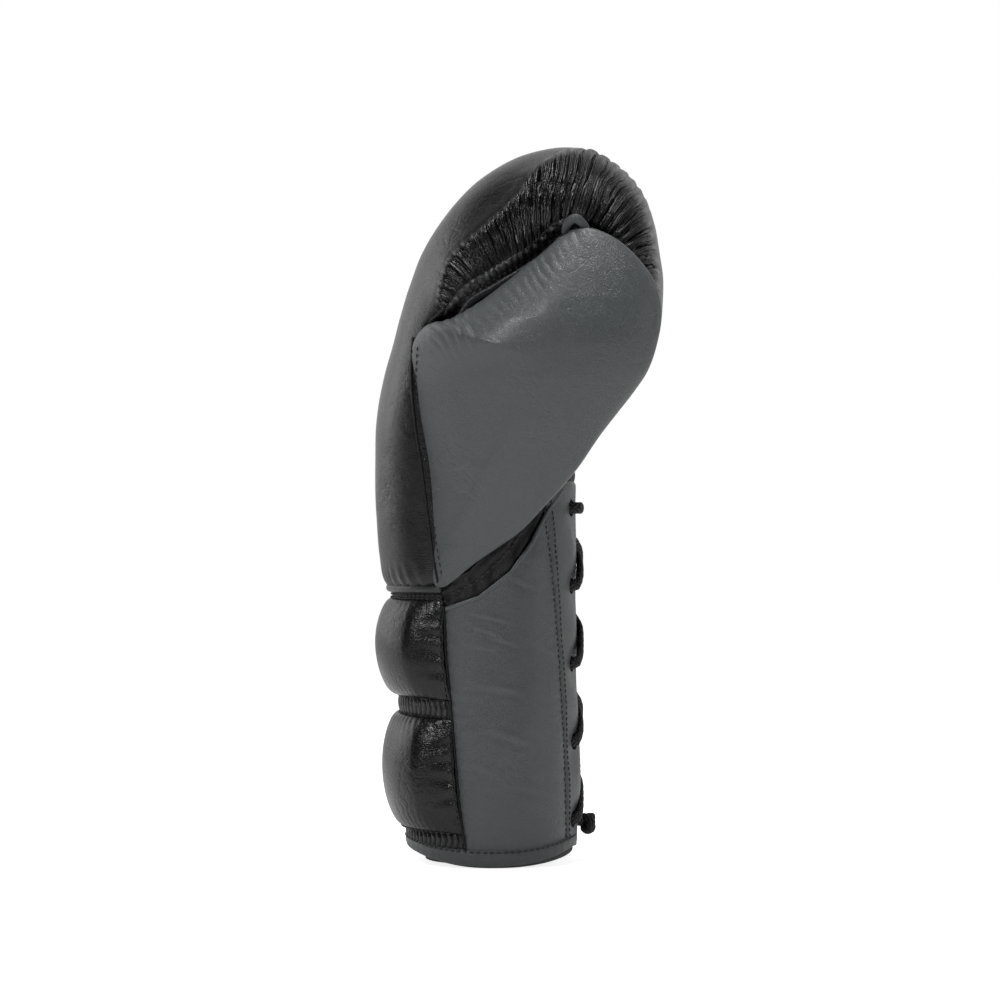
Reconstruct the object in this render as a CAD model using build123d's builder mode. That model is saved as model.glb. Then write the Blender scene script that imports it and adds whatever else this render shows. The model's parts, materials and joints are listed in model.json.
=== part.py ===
"""Lace-up boxing glove for the left hand, as an assembly of separate pieces.

Frame: +Z runs from the hem of the cuff to the knuckles, +X points to the palm side, -X to the
back of the hand and -Y to the thumb. The origin is the centre of the hand opening, in the
plane of the hem. All sizes are in millimetres.
"""

import os
from math import copysign, cos, pi, sin, tan

from build123d import *

os.makedirs("parts", exist_ok=True)

# ---------------------------------------------------------------- driving sizes
# Cuff: the sleeve round the wrist, laced on the palm side.
cuff_depth = 76.0  # back to palm, over the side panels at the hem
cuff_width = 102.0  # thumb side to little-finger side
cuff_back_height = 118.0  # hem to the wrist seam, on the back of the hand
cuff_palm_height = 172.0  # hem to the top of the lacing
hem_height = 9.0  # folded binding
hem_band_height = 6.5  # gathered strip above the binding, on the back
lower_roll_height = 50.5
roll_gap = 7.0  # gathered strip between the two padded rolls
roll_bulge = 8.5  # how far a padded roll stands out of the cuff
seam_slope = 3.0  # degrees that the roll seams drop towards the palm

# Mitt: the padded fist.
wrist_gap = 8.0  # piping and seam between the cuff and the back of the mitt
mitt_height = 197.5  # wrist seam to the top of the knuckles
mitt_depth = 130.0
mitt_width = 120.0

# Thumb.
thumb_height = 157.5
thumb_reach = 110.0  # back edge to tip, towards the palm
thumb_thickness = 37.5  # how far it stands out of the side of the mitt
thumb_side = 50.0  # distance of the thumb's flat inner side from the middle of the glove
thumb_wall = 12.0  # foam and leather round the thumb compartment
thumb_inner_wall = 6.0  # the same on the side towards the fist
thumb_passage = 15.0  # half width of the way from the hand compartment to the thumb

# Materials, by thickness.
leather = 2.0
lining = 2.0
cuff_foam = 5.0
side_foam = 8.8
back_foam = 21.0
finger_foam = 26.0
knuckle_foam = 36.0
grip_radius = 9.0

# Lacing.
lace_diameter = 5.2
lace_hole_radius = 3.8
lace_hole_spacing = 42.0  # between the two columns of holes
lace_first_hole = 20.0  # hem to the lowest pair of holes
lace_pitch = 35.0
lace_rows = 5
slit_width = 20.0
facing_thickness = 3.5
facing_top_width = 30.0
facing_hem_width = 17.0
tongue_thickness = 3.0
tongue_half_width = 27.0
knot_radius = 4.5

# Fits and clearances.
clearance = 0.5  # between pieces that move against each other
seat = 0.3  # between a soft piece and the neighbour it is sewn to
far = 400.0  # longer than the glove, for cutting tools

# ---------------------------------------------------------------- derived places
wrist_height = cuff_back_height + wrist_gap
glove_height = wrist_height + mitt_height
side_seam_x = -0.24 * cuff_depth  # seam between the back rolls and the side panels
wrist_hinge_x = side_seam_x - 4.0
lining_inset = leather + cuff_foam
cavity_inset = lining_inset + lining
facing_inset = -1.5
binding_inset = -1.2
binding_wrap = 1.5  # thickness of the binding under the wall
slit_half = slit_width / 2
thumb_plane = -thumb_side + clearance  # the flat side of the mitt, next to the thumb


# ---------------------------------------------------------------- shared shapes
def superellipse(back, front, thumb, little, square, points=16):
    """Points round an outline between four limits, a little squarer than an ellipse."""
    centre_x, centre_y = (back + front) / 2, (thumb + little) / 2
    reach_x, reach_y = (front - back) / 2, (little - thumb) / 2
    outline = []
    for k in range(points):
        c, s = cos(2 * pi * k / points), sin(2 * pi * k / points)
        across = reach_x * copysign(abs(c) ** (2 / square), c)
        along = reach_y * copysign(abs(s) ** (2 / square), s)
        outline.append((centre_x + across, centre_y + along))
    return outline


def oval_loft(stations, tilt=0.0, square=2.4, mode=Mode.ADD):
    """A loft through ovals (z, back, front, thumb, little)."""
    sections = []
    for z, back, front, thumb, little in stations:
        with BuildSketch(Plane.XY.offset(z).rotated((0, tilt, 0))) as section:
            with BuildLine():
                Spline(*superellipse(back, front, thumb, little, square), periodic=True)
            make_face()
        sections.append(section.sketch)
    loft(sections=sections, mode=mode)


def side_cut(outline, low=-far, high=far, mode=Mode.INTERSECT):
    """Cuts with an outline drawn in the side view (x, z), between two values of y."""
    with BuildSketch(Plane.XZ.offset(-high)) as cutter:
        with BuildLine():
            Polyline(*outline, close=True)
        make_face()
    extrude(cutter.sketch, amount=high - low, mode=mode)


def palm_cut(outline, low=-far, high=far, mode=Mode.INTERSECT):
    """Cuts with an outline drawn in the palm view (y, z), between two values of x."""
    with BuildSketch(Plane.YZ.offset(low)) as cutter:
        with BuildLine():
            Polyline(*outline, close=True)
        make_face()
    extrude(cutter.sketch, amount=high - low, mode=mode)


def finish(piece, name):
    """Names a finished piece and writes it."""
    piece.part.label = name
    export_step(piece.part, f"parts/{name}.step")


# ---------------------------------------------------------------- outline of the cuff
# Share of the full height, then back and front as shares of the depth, then half the width as
# a share of the width.
cuff_full_height = cuff_palm_height + 14.0
cuff_profile = [
    (0.00, -0.495, 0.490, 0.490),
    (0.07, -0.507, 0.490, 0.497),
    (0.33, -0.545, 0.490, 0.500),
    (0.64, -0.585, 0.490, 0.487),
    (0.82, -0.610, 0.490, 0.478),
    (1.00, -0.655, 0.490, 0.480),
]


def cuff_stations(inset):
    """The cuff's ovals at an inset from the leather of its side panels."""
    stations = []
    for share, back, front, half in cuff_profile:
        stations.append(
            (
                share * cuff_full_height,
                back * cuff_depth + inset,
                front * cuff_depth - inset,
                -half * cuff_width + inset,
                half * cuff_width - inset,
            )
        )
    return stations


def cuff_at(z):
    """Back and half width of the cuff at a height, between the listed shares."""
    share = min(z / cuff_full_height, 1.0)
    for low, high in zip(cuff_profile, cuff_profile[1:]):
        if share <= high[0]:
            part = (share - low[0]) / (high[0] - low[0])
            back = low[1] + part * (high[1] - low[1])
            half = low[3] + part * (high[3] - low[3])
            return back * cuff_depth, half * cuff_width


def roll_stations(low, high, inset):
    """A padded roll's ovals: the cuff's, swelling out between its two seams."""
    stations = []
    for share in (0.0, 0.08, 0.24, 0.5, 0.76, 0.92, 1.0):
        swell = 1.0 + (roll_bulge - 1.0) * sin(pi * share) ** 0.5
        z = low + share * (high - low)
        back, half = cuff_at(z)
        reach = half + 0.3 * swell - inset
        stations.append((z, back - swell + inset, 0.3 * cuff_depth, -reach, reach))
    return stations


# ---------------------------------------------------------------- outline of the mitt
# Share of the mitt's height, back and front as shares of its depth, thumb side and little side
# as shares of its width, then the share of the full foam at the back, front and sides.
mitt_profile = [
    (-0.04, -0.350, 0.277, -0.400, 0.402, 0.70, 0.25, 0.90),
    (0.07, -0.388, 0.285, -0.417, 0.425, 0.85, 0.27, 1.00),
    (0.19, -0.406, 0.300, -0.437, 0.458, 0.95, 0.28, 1.00),
    (0.32, -0.406, 0.330, -0.458, 0.483, 1.00, 0.31, 1.00),
    (0.41, -0.396, 0.377, -0.467, 0.500, 1.02, 0.48, 1.00),
    (0.475, -0.380, 0.477, -0.475, 0.508, 1.05, 0.80, 1.00),
    (0.54, -0.355, 0.565, -0.479, 0.517, 1.10, 1.00, 1.00),
    (0.625, -0.315, 0.594, -0.483, 0.517, 1.20, 1.05, 1.05),
    (0.725, -0.265, 0.588, -0.475, 0.500, 1.30, 1.05, 1.15),
    (0.815, -0.180, 0.554, -0.446, 0.467, 1.40, 1.05, 1.30),
    (0.895, -0.072, 0.500, -0.392, 0.408, 1.45, 1.05, 1.45),
    (0.965, 0.055, 0.405, -0.285, 0.300, 1.05, 0.90, 1.15),
    (1.00, 0.165, 0.310, -0.130, 0.145, 0.20, 0.20, 0.30),
]


def add_mitt(inset, mode=Mode.ADD):
    """The mitt's outline at an inset from its leather, flat where the thumb lies."""
    stations = []
    for share, back, front, thumb, little, *_ in mitt_profile:
        stations.append(
            (
                wrist_height + share * (mitt_height - inset),
                back * mitt_depth + inset,
                front * mitt_depth - inset,
                thumb * mitt_width + inset,
                little * mitt_width - inset,
            )
        )
    oval_loft(stations, mode=mode)


def add_pouch(inset, mode=Mode.ADD):
    """The hand compartment: the mitt's outline, less the foam on each side."""
    stations = []
    for share, back, front, thumb, little, back_share, front_share, side_share in mitt_profile:
        stations.append(
            (
                wrist_height + share * (mitt_height - knuckle_foam - inset),
                back * mitt_depth + leather + back_share * back_foam + inset,
                front * mitt_depth - leather - front_share * finger_foam - inset,
                thumb * mitt_width + leather + side_share * side_foam + inset,
                little * mitt_width - leather - side_share * side_foam - inset,
            )
        )
    oval_loft(stations, square=2.2, mode=mode)


# ---------------------------------------------------------------- outline of the thumb
# Share of the thumb's height, back and front as shares of its reach, and how far it stands
# out as a share of its thickness.
thumb_profile = [
    (0.00, -0.225, -0.110, 0.10),
    (0.05, -0.245, -0.035, 0.18),
    (0.12, -0.262, 0.055, 0.30),
    (0.215, -0.280, 0.205, 0.46),
    (0.33, -0.300, 0.340, 0.64),
    (0.45, -0.315, 0.470, 0.81),
    (0.58, -0.325, 0.605, 0.93),
    (0.675, -0.318, 0.662, 0.99),
    (0.74, -0.235, 0.675, 1.00),
    (0.80, -0.060, 0.672, 0.96),
    (0.88, 0.082, 0.632, 0.85),
    (0.95, 0.195, 0.560, 0.70),
    (1.00, 0.300, 0.470, 0.52),
]
thumb_root = 13.0  # how deep the thumb's ovals run past its flat side, before it is cut


def add_thumb(inset, mode=Mode.ADD):
    """The thumb's outline at an inset from its leather, before its flat side is cut."""
    stations = []
    for share, back, front, out in thumb_profile:
        middle = (back + front) / 2 * thumb_reach
        half = max((front - back) / 2 * thumb_reach - inset, 2.0)
        reach = max(out * thumb_thickness - inset, 1.0)
        z = wrist_height + inset + share * (thumb_height - 2 * inset)
        stations.append(
            (z, middle - half, middle + half, -thumb_side - reach, thumb_root - thumb_side)
        )
    oval_loft(stations, square=2.2, mode=mode)


# ---------------------------------------------------------------- seams, in the side view
cuff_top = [
    (-far, cuff_back_height),
    (side_seam_x - 2.0, cuff_back_height - 2.0),
    (-6.0, cuff_back_height + 3.0),
    (8.0, cuff_back_height + 14.0),
    (17.0, cuff_back_height + 27.0),
    (24.0, cuff_back_height + 41.0),
    (30.0, cuff_palm_height - 4.0),
    (45.0, cuff_palm_height),
    (far, cuff_palm_height),
]
mitt_bottom = [
    (-far, wrist_height),
    (wrist_hinge_x - 1.0, wrist_height - 2.0),
    (-10.0, wrist_height + 5.0),
    (2.0, wrist_height + 17.0),
    (11.0, wrist_height + 30.0),
    (19.0, wrist_height + 43.0),
    (28.0, wrist_height + 55.0),
    (46.0, wrist_height + 65.0),
    (far, wrist_height + 72.0),
]
below_cuff_top = [*cuff_top, (far, -far), (-far, -far)]
above_mitt_bottom = [*mitt_bottom, (far, far), (-far, far)]
below_mitt_seam = [(x, z - seat) for x, z in mitt_bottom] + [(far, -far), (-far, -far)]
above_cuff_seam = [(x, z + seat) for x, z in cuff_top] + [(far, far), (-far, far)]
crease_z = wrist_height + 0.475 * mitt_height
back_seam = [
    (side_seam_x - 5.0, -far),
    (side_seam_x - 5.0, wrist_height),
    (side_seam_x - 11.0, wrist_height + 38.0),
    (side_seam_x - 16.0, wrist_height + 112.0),
    (side_seam_x - 1.0, wrist_height + 117.0),
    (12.0, wrist_height + 112.0),
    (0.36 * mitt_depth, crease_z + 1.5),
    (far, crease_z - 16.0),
]
palm_region = [*back_seam, (far, -far)]
back_region = [*back_seam, (far, far), (-far, far), (-far, -far)]
palm_side = [(side_seam_x, -far), (side_seam_x, far), (far, far), (far, -far)]
back_side = [(side_seam_x, -far), (side_seam_x, far), (-far, far), (-far, -far)]
flap_edge = side_seam_x + clearance
flap_side = [(flap_edge, -far), (flap_edge, far), (far, far), (far, -far)]


def thumb_pocket(grow):
    """Where the side of the mitt is flat for the thumb, grown by a leather's thickness."""
    back = -0.37 * thumb_reach - grow
    top = wrist_height + grow
    return [
        (back, -far),
        (back, top + 0.76 * thumb_height),
        (-0.21 * thumb_reach, top + 0.79 * thumb_height),
        (0.28 * thumb_reach, top + 1.05 * thumb_height),
        (0.52 * thumb_reach, top + 1.06 * thumb_height),
        (0.78 * thumb_reach, top + 0.88 * thumb_height),
        (far, top + 0.52 * thumb_height),
        (far, -far),
    ]


# ---------------------------------------------------------------- seams, in the palm view
facing_edge = slit_half + facing_hem_width
facing_top_edge = slit_half + facing_top_width


def facing_outline(side, inner):
    """The laced strip beside the slit, from its inner edge to its seam."""
    return [
        (side * inner, -far),
        (side * inner, far),
        (side * (facing_top_edge + 8.0), far),
        (side * facing_top_edge, cuff_palm_height),
        (side * facing_edge, hem_height),
        (side * facing_edge, -far),
    ]


def panel_outline(side):
    """All that lies outside the laced strip's seam."""
    return [
        (side * (facing_top_edge + 8.0), far),
        (side * facing_top_edge, cuff_palm_height),
        (side * facing_edge, hem_height),
        (side * facing_edge, -far),
        (-side * far, -far),
        (-side * far, -2 * far),
        (side * 2 * far, -2 * far),
        (side * 2 * far, far),
    ]


# ---------------------------------------------------------------- the sleeve of the cuff
def cuff_layer(outer, inner, low):
    """The part of the cuff's wall between two insets, from a height up to the top seam."""
    oval_loft(cuff_stations(outer))
    oval_loft(cuff_stations(inner), mode=Mode.SUBTRACT)
    side_cut(below_cuff_top)
    side_cut([(-far, low), (far, low), (far, far), (-far, far)])


for name, side, limits, outline in (
    ("thumb_side", -1, (-far, 0.0), palm_side),
    ("little_side", 1, (0.0, far), flap_side),
):
    with BuildPart() as panel:
        cuff_layer(0.0, leather, binding_wrap)
        side_cut(outline, *limits)
        palm_cut(panel_outline(side))
    finish(panel, f"{name}_cuff_panel")

    with BuildPart() as sheet:
        cuff_layer(leather, lining_inset, binding_wrap)
        side_cut(outline, *limits)
        palm_cut(panel_outline(side))
    finish(sheet, f"{name}_cuff_foam")

    with BuildPart() as facing:
        cuff_layer(facing_inset, facing_inset + facing_thickness, hem_height + seat)
        palm_cut(facing_outline(side, slit_half), low=0.0)
        for row in range(lace_rows):
            height = lace_first_hole + row * lace_pitch
            hole = Plane((0, side * lace_hole_spacing / 2, height), z_dir=(1, 0, 0))
            with Locations(hole):
                Cylinder(lace_hole_radius, far, mode=Mode.SUBTRACT)
    finish(facing, f"{name}_lace_facing")

with BuildPart() as flap_lining:
    cuff_layer(lining_inset, cavity_inset, binding_wrap)
    side_cut(flap_side, 0.0, far)
    palm_cut(panel_outline(1))
finish(flap_lining, "flap_lining")

with BuildPart() as cuff_lining:
    cuff_layer(lining_inset, cavity_inset, binding_wrap)
    side_cut(palm_side, 0.0, far, mode=Mode.SUBTRACT)
    palm_cut(facing_outline(-1, -far), low=0.0, mode=Mode.SUBTRACT)
finish(cuff_lining, "cuff_lining")

with BuildPart() as tongue:
    tongue_inset = cavity_inset + seat
    cuff_layer(tongue_inset, tongue_inset + tongue_thickness, hem_height)
    edge = tongue_half_width
    palm_cut([(-edge, -far), (-edge, far), (edge, far), (edge, -far)], low=0.0)
finish(tongue, "lace_tongue")

for name, outline, mode in (
    ("hem_binding", palm_side, Mode.SUBTRACT),
    ("flap_hem_binding", flap_side, Mode.INTERSECT),
):
    with BuildPart() as binding:
        oval_loft(cuff_stations(binding_inset))
        oval_loft(cuff_stations(cavity_inset - binding_inset), mode=Mode.SUBTRACT)
        side_cut([(-far, 0.0), (far, 0.0), (far, hem_height), (-far, hem_height)])
        with BuildPart(mode=Mode.PRIVATE) as wall:
            oval_loft(cuff_stations(0.0))
            oval_loft(cuff_stations(cavity_inset), mode=Mode.SUBTRACT)
            side_cut([(-far, binding_wrap), (far, binding_wrap), (far, far), (-far, far)])
            palm_cut(
                [(-facing_edge, -far), (-facing_edge, far), (facing_edge, far), (facing_edge, -far)],
                low=0.0,
                mode=Mode.SUBTRACT,
            )
        add(wall.part, mode=Mode.SUBTRACT)
        side_cut(outline, 0.0, far, mode=mode)
        slit = [(-slit_half, -far), (-slit_half, far), (slit_half, far), (slit_half, -far)]
        palm_cut(slit, low=0.0, mode=Mode.SUBTRACT)
    finish(binding, name)


# ---------------------------------------------------------------- the padded back of the cuff
def sloping(low, high):
    """The side-view outline between two sloping seams of the back."""
    drop = far * tan(seam_slope * pi / 180)
    return [(0.0, low), (-far, low + drop), (-far, high + drop), (0.0, high)]


band_top = hem_height + hem_band_height
roll_seam = band_top + lower_roll_height
upper_roll_low = roll_seam + roll_gap
for name, low, high in (
    ("lower_roll", band_top, roll_seam),
    ("upper_roll", upper_roll_low, cuff_back_height + 3.0),
):
    with BuildPart() as cover:
        oval_loft(roll_stations(low, high, 0.0), tilt=seam_slope)
        oval_loft(roll_stations(low, high, leather), tilt=seam_slope, mode=Mode.SUBTRACT)
        side_cut(back_side)
        side_cut(below_cuff_top)
    finish(cover, f"{name}_cover")

    with BuildPart() as stuffing:
        oval_loft(roll_stations(low, high, leather), tilt=seam_slope)
        oval_loft(cuff_stations(lining_inset), mode=Mode.SUBTRACT)
        side_cut(back_side)
        side_cut(below_cuff_top)
    finish(stuffing, f"{name}_foam")

with BuildPart() as cuff_band:
    oval_loft(cuff_stations(-0.8))
    oval_loft(cuff_stations(lining_inset), mode=Mode.SUBTRACT)
    side_cut(back_side)
    side_cut(sloping(roll_seam + seat, upper_roll_low - seat))
finish(cuff_band, "cuff_band")

with BuildPart() as hem_band:
    oval_loft(cuff_stations(0.0))
    oval_loft(cuff_stations(lining_inset), mode=Mode.SUBTRACT)
    side_cut([(-far, binding_wrap), (far, binding_wrap), (far, far), (-far, far)])
    side_cut(back_side)
    side_cut(sloping(-far, band_top - seat))
finish(hem_band, "hem_band")


# ---------------------------------------------------------------- the wrist seam
def wrist_strip(outer, inner):
    """The strip between the top of the cuff and the bottom of the mitt."""
    oval_loft(cuff_stations(outer))
    oval_loft(cuff_stations(inner), mode=Mode.SUBTRACT)
    side_cut(below_mitt_seam)
    side_cut(above_cuff_seam)


gusset_edge = wrist_hinge_x + seat
with BuildPart() as piping:
    wrist_strip(-1.5, 4.0)
    edge = wrist_hinge_x
    side_cut([(edge, -far), (edge, far), (-far, far), (-far, -far)])
finish(piping, "wrist_piping")

palm_gusset_half = 26.0
for name, side in (("thumb_side_gusset", -1), ("little_side_gusset", 1)):
    with BuildPart() as gusset:
        wrist_strip(0.5, 4.0)
        side_cut([(gusset_edge, -far), (gusset_edge, far), (far, far), (far, -far)])
        limit = side * palm_gusset_half
        palm_cut([(limit, -far), (limit, far), (side * far, far), (side * far, -far)])
    finish(gusset, name)

with BuildPart() as heel_gusset:
    wrist_strip(-0.5, 4.0)
    edge = palm_gusset_half - seat
    palm_cut([(-edge, -far), (-edge, far), (edge, far), (edge, -far)], low=0.0)
finish(heel_gusset, "heel_gusset")


# ---------------------------------------------------------------- the mitt
def flatten_for_thumb(inset):
    """Cuts the side of the mitt flat where the thumb lies against it."""
    side_cut(thumb_pocket(inset), -far, thumb_plane + inset, mode=Mode.SUBTRACT)


def passage():
    """The way for the thumb out of the hand compartment."""
    depth = thumb_inner_wall + lining + 1.0
    with BuildSketch(Plane.XZ.offset(thumb_side + depth)) as mouth:
        with Locations((12.0, wrist_height + 74.0)):
            Ellipse(thumb_passage, 1.35 * thumb_passage, rotation=-12)
    extrude(mouth.sketch, amount=-depth - 15.0, mode=Mode.SUBTRACT)


for name, region in (("back", back_region), ("palm", palm_region)):
    with BuildPart() as cover:
        add_mitt(0.0)
        flatten_for_thumb(0.0)
        with BuildPart(mode=Mode.PRIVATE) as inside:
            add_mitt(leather)
            flatten_for_thumb(leather)
        add(inside.part, mode=Mode.SUBTRACT)
        side_cut(region)
        side_cut(above_mitt_bottom)
        passage()
    finish(cover, f"{name}_cover")

    with BuildPart() as stuffing:
        add_mitt(leather)
        flatten_for_thumb(leather)
        add_pouch(0.0, mode=Mode.SUBTRACT)
        side_cut(region)
        side_cut(above_mitt_bottom)
        passage()
    finish(stuffing, f"{name}_foam")

with BuildPart() as hand_lining:
    add_pouch(0.0)
    add_pouch(lining, mode=Mode.SUBTRACT)
    side_cut(above_mitt_bottom)
    passage()
finish(hand_lining, "hand_lining")

with BuildPart() as grip:
    with Locations(Plane((32.0, 0.0, wrist_height + 0.555 * mitt_height), z_dir=(0, 1, 0))):
        Cylinder(grip_radius, mitt_width)
    add_pouch(lining, mode=Mode.INTERSECT)
finish(grip, "grip_bar")


# ---------------------------------------------------------------- the thumb
def flat_side(inset):
    """Cuts the side of the thumb flat, next to the fist."""
    side_cut([(-far, -far), (far, -far), (far, far), (-far, far)], -far, -thumb_side - inset)


with BuildPart() as thumb_cover:
    add_thumb(0.0)
    flat_side(0.0)
    with BuildPart(mode=Mode.PRIVATE) as inside:
        add_thumb(leather)
        flat_side(leather)
    add(inside.part, mode=Mode.SUBTRACT)
    passage()
finish(thumb_cover, "thumb_cover")

with BuildPart() as thumb_foam:
    add_thumb(leather)
    flat_side(leather)
    with BuildPart(mode=Mode.PRIVATE) as inside:
        add_thumb(thumb_wall)
        flat_side(thumb_inner_wall)
    add(inside.part, mode=Mode.SUBTRACT)
    passage()
finish(thumb_foam, "thumb_foam")

with BuildPart() as thumb_lining:
    add_thumb(thumb_wall)
    flat_side(thumb_inner_wall)
    with BuildPart(mode=Mode.PRIVATE) as inside:
        add_thumb(thumb_wall + lining)
        flat_side(thumb_inner_wall + lining)
    add(inside.part, mode=Mode.SUBTRACT)
    passage()
finish(thumb_lining, "thumb_lining")

with BuildPart() as thumb_tie:
    low_x, low_z = -0.21 * thumb_reach, wrist_height + 0.775 * thumb_height
    high_x, high_z = 0.28 * thumb_reach, wrist_height + 1.035 * thumb_height
    strip = [(low_x, low_z), (high_x, high_z), (high_x + 4.0, high_z - 5.5), (low_x + 4.0, low_z - 5.5)]
    side_cut(strip, -54.5, -50.0, mode=Mode.ADD)
    add_thumb(-seat, mode=Mode.SUBTRACT)
finish(thumb_tie, "thumb_tie")

# ---------------------------------------------------------------- the lace
face = 0.49 * cuff_depth - facing_inset
over = face + lace_diameter / 2 - 0.6  # outside the laced strips, at the holes
over_edge = over + 1.6  # at the edge of the slit
under = face - facing_thickness - lace_diameter / 2 - 2.3  # inside the strips
cross_over = face + 2.4
cross_under = cross_over - lace_diameter - 0.5
hole_y = lace_hole_spacing / 2


def lace_half(side, crossing):
    """Points of one half of the lace, from the top bar down to the knot."""
    points = [(over_edge, side * 9.0, lace_first_hole + (lace_rows - 1) * lace_pitch)]
    for row in range(lace_rows - 1, 0, -1):
        z = lace_first_hole + row * lace_pitch
        middle = z - lace_pitch / 2
        drop = lace_pitch / lace_hole_spacing
        points.append((over, side * hole_y, z))
        points.append((under, side * hole_y, z))
        points.append((under + 0.4, side * (slit_half - 1.5), middle + (slit_half - 1.5) * drop))
        points.append((crossing, 0.0, middle))
        points.append((over_edge, -side * (slit_half - 2.0), middle - (slit_half - 2.0) * drop))
        side = -side
    points.append((over, side * hole_y, lace_first_hole))
    points.append((under, side * hole_y, lace_first_hole))
    points.append((under + 0.4, side * (slit_half - 2.0), lace_first_hole - 1.0))
    points.append((face + 1.1, side * 4.5, lace_first_hole - 1.8))
    return points


lace_route = [*reversed(lace_half(-1, cross_over)), *lace_half(1, cross_under)]


def bend_radii(points):
    """The largest arc at each corner that its two runs leave room for."""
    radii = []
    for before, corner, after in zip(points, points[1:], points[2:]):
        run_in = Vector(*corner) - Vector(*before)
        run_out = Vector(*after) - Vector(*corner)
        half_turn = run_in.get_angle(run_out) * pi / 360
        radii.append(0.45 * min(run_in.length, run_out.length) / tan(half_turn))
    return radii


with BuildPart() as lace:
    with BuildLine() as route:
        FilletPolyline(*lace_route, radius=bend_radii(lace_route))
    start = route.line @ 0
    with BuildSketch(Plane(start, z_dir=route.line % 0)):
        Circle(lace_diameter / 2)
    sweep(path=route.line)
finish(lace, "lace")
lace_length = sum(edge.length for edge in route.line.edges())
lace_section = pi * lace_diameter**2 / 4
print("lace length", round(lace_length, 1))
print("smallest bend", round(min(bend_radii(lace_route)), 2))
print("volume over section times length", round(lace.part.volume / lace_section / lace_length, 4))

with BuildPart() as knot:
    with Locations(Plane((face + 4.3, 0.0, lace_first_hole - 3.0), z_dir=(0, 1, 0))):
        Sphere(knot_radius)
        Torus(knot_radius + 0.4, 0.8, mode=Mode.SUBTRACT)
finish(knot, "lace_knot")
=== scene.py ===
"""Looks of a lace-up boxing glove: padded leather skins, seams, stitching, lacing and linings.

The glove stands on its hem. +Z runs to the knuckles, +X to the palm side and -Y to the thumb.
Shapes are worked out in millimetres and made into meshes in metres.
"""

import json
import math

import bmesh
import bpy
import numpy as np
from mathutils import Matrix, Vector
from mathutils.bvhtree import BVHTree

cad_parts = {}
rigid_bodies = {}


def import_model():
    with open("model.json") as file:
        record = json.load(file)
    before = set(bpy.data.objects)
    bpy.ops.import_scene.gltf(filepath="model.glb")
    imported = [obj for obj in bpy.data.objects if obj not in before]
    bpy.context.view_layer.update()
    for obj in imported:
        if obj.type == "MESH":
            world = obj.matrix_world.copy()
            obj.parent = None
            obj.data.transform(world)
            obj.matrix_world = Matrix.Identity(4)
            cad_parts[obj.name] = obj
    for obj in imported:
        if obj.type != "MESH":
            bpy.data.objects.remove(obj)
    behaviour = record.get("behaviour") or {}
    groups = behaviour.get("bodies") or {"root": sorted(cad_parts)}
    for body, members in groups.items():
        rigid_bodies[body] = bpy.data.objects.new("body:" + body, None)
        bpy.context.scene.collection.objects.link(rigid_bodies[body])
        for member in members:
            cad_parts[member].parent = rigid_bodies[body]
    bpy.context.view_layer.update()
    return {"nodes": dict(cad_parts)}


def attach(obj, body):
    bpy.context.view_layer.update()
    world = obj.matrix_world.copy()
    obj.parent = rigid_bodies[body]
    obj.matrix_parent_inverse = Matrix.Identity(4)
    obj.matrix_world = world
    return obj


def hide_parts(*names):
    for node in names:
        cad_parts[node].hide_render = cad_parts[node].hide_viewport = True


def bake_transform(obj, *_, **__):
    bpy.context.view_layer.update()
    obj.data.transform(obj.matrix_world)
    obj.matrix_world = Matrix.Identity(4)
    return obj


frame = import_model()

bl_info = {
    "name": "Lace-up boxing glove",
    "version": (1, 0, 0),
    "blender": (4, 5, 0),
    "location": "3D View > Sidebar > Glove",
    "description": "Builds the leather, stitching and lacing of a boxing glove round its assembly",
    "category": "Add Mesh",
}

MM = 0.001

# ---------------------------------------------------------------- lines of the glove, in mm
# Cuff: height, back of the leather, half of its width. The palm side is straight.
CUFF = [
    (0.0, -37.6, 50.0), (13.0, -38.5, 50.7), (61.4, -41.4, 51.0), (119.0, -44.5, 49.7),
    (152.5, -46.4, 48.8), (186.0, -49.8, 49.0),
]
CUFF_FRONT = 37.24
HEM_SPLIT = -17.74  # x at which the flap's binding meets the rest of the hem
BAND_START = -20.24  # x at which the rows along the bands of the back begin
SLIT_HALF = 10.0
SEAM_DROP = math.tan(math.radians(3.0))  # how far the seams of the back drop towards the palm
ROUND_BACK = 150  # length round the back, from side seam to side seam
SQUARE = 2.4  # how square the ovals are: 2 is an ellipse

# Top edge of the cuff and lower edge of the mitt, seen from the side (x, z).
CUFF_TOP = [
    (-60, 118), (-20.2, 116), (-6, 121), (8, 132), (17, 145), (24, 159), (30, 168), (36, 171),
    (45, 172), (60, 172),
]
MITT_LOW = [
    (-60, 126), (-23.2, 124), (-10, 131), (2, 143), (11, 156), (19, 169), (28, 181), (36, 187),
    (46, 191), (70, 193),
]

# Line through the middle of the mitt's sides (x, z, half width to the thumb side, to the other).
MITT_CORE = [
    (-12, 124, 49.5, 50.5), (-10.5, 145, 51, 53), (-9.3, 162, 52.4, 55), (-9, 180, 54, 57),
    (-9, 200, 55.5, 59), (-8.5, 218, 56.8, 60.5), (-6, 235, 57.5, 61.5), (-1, 247, 57.8, 62),
    (7, 254.5, 57.8, 62), (16, 259, 57.6, 61.5), (25, 261.5, 57.3, 61.2), (34, 260, 57, 61),
]
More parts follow.
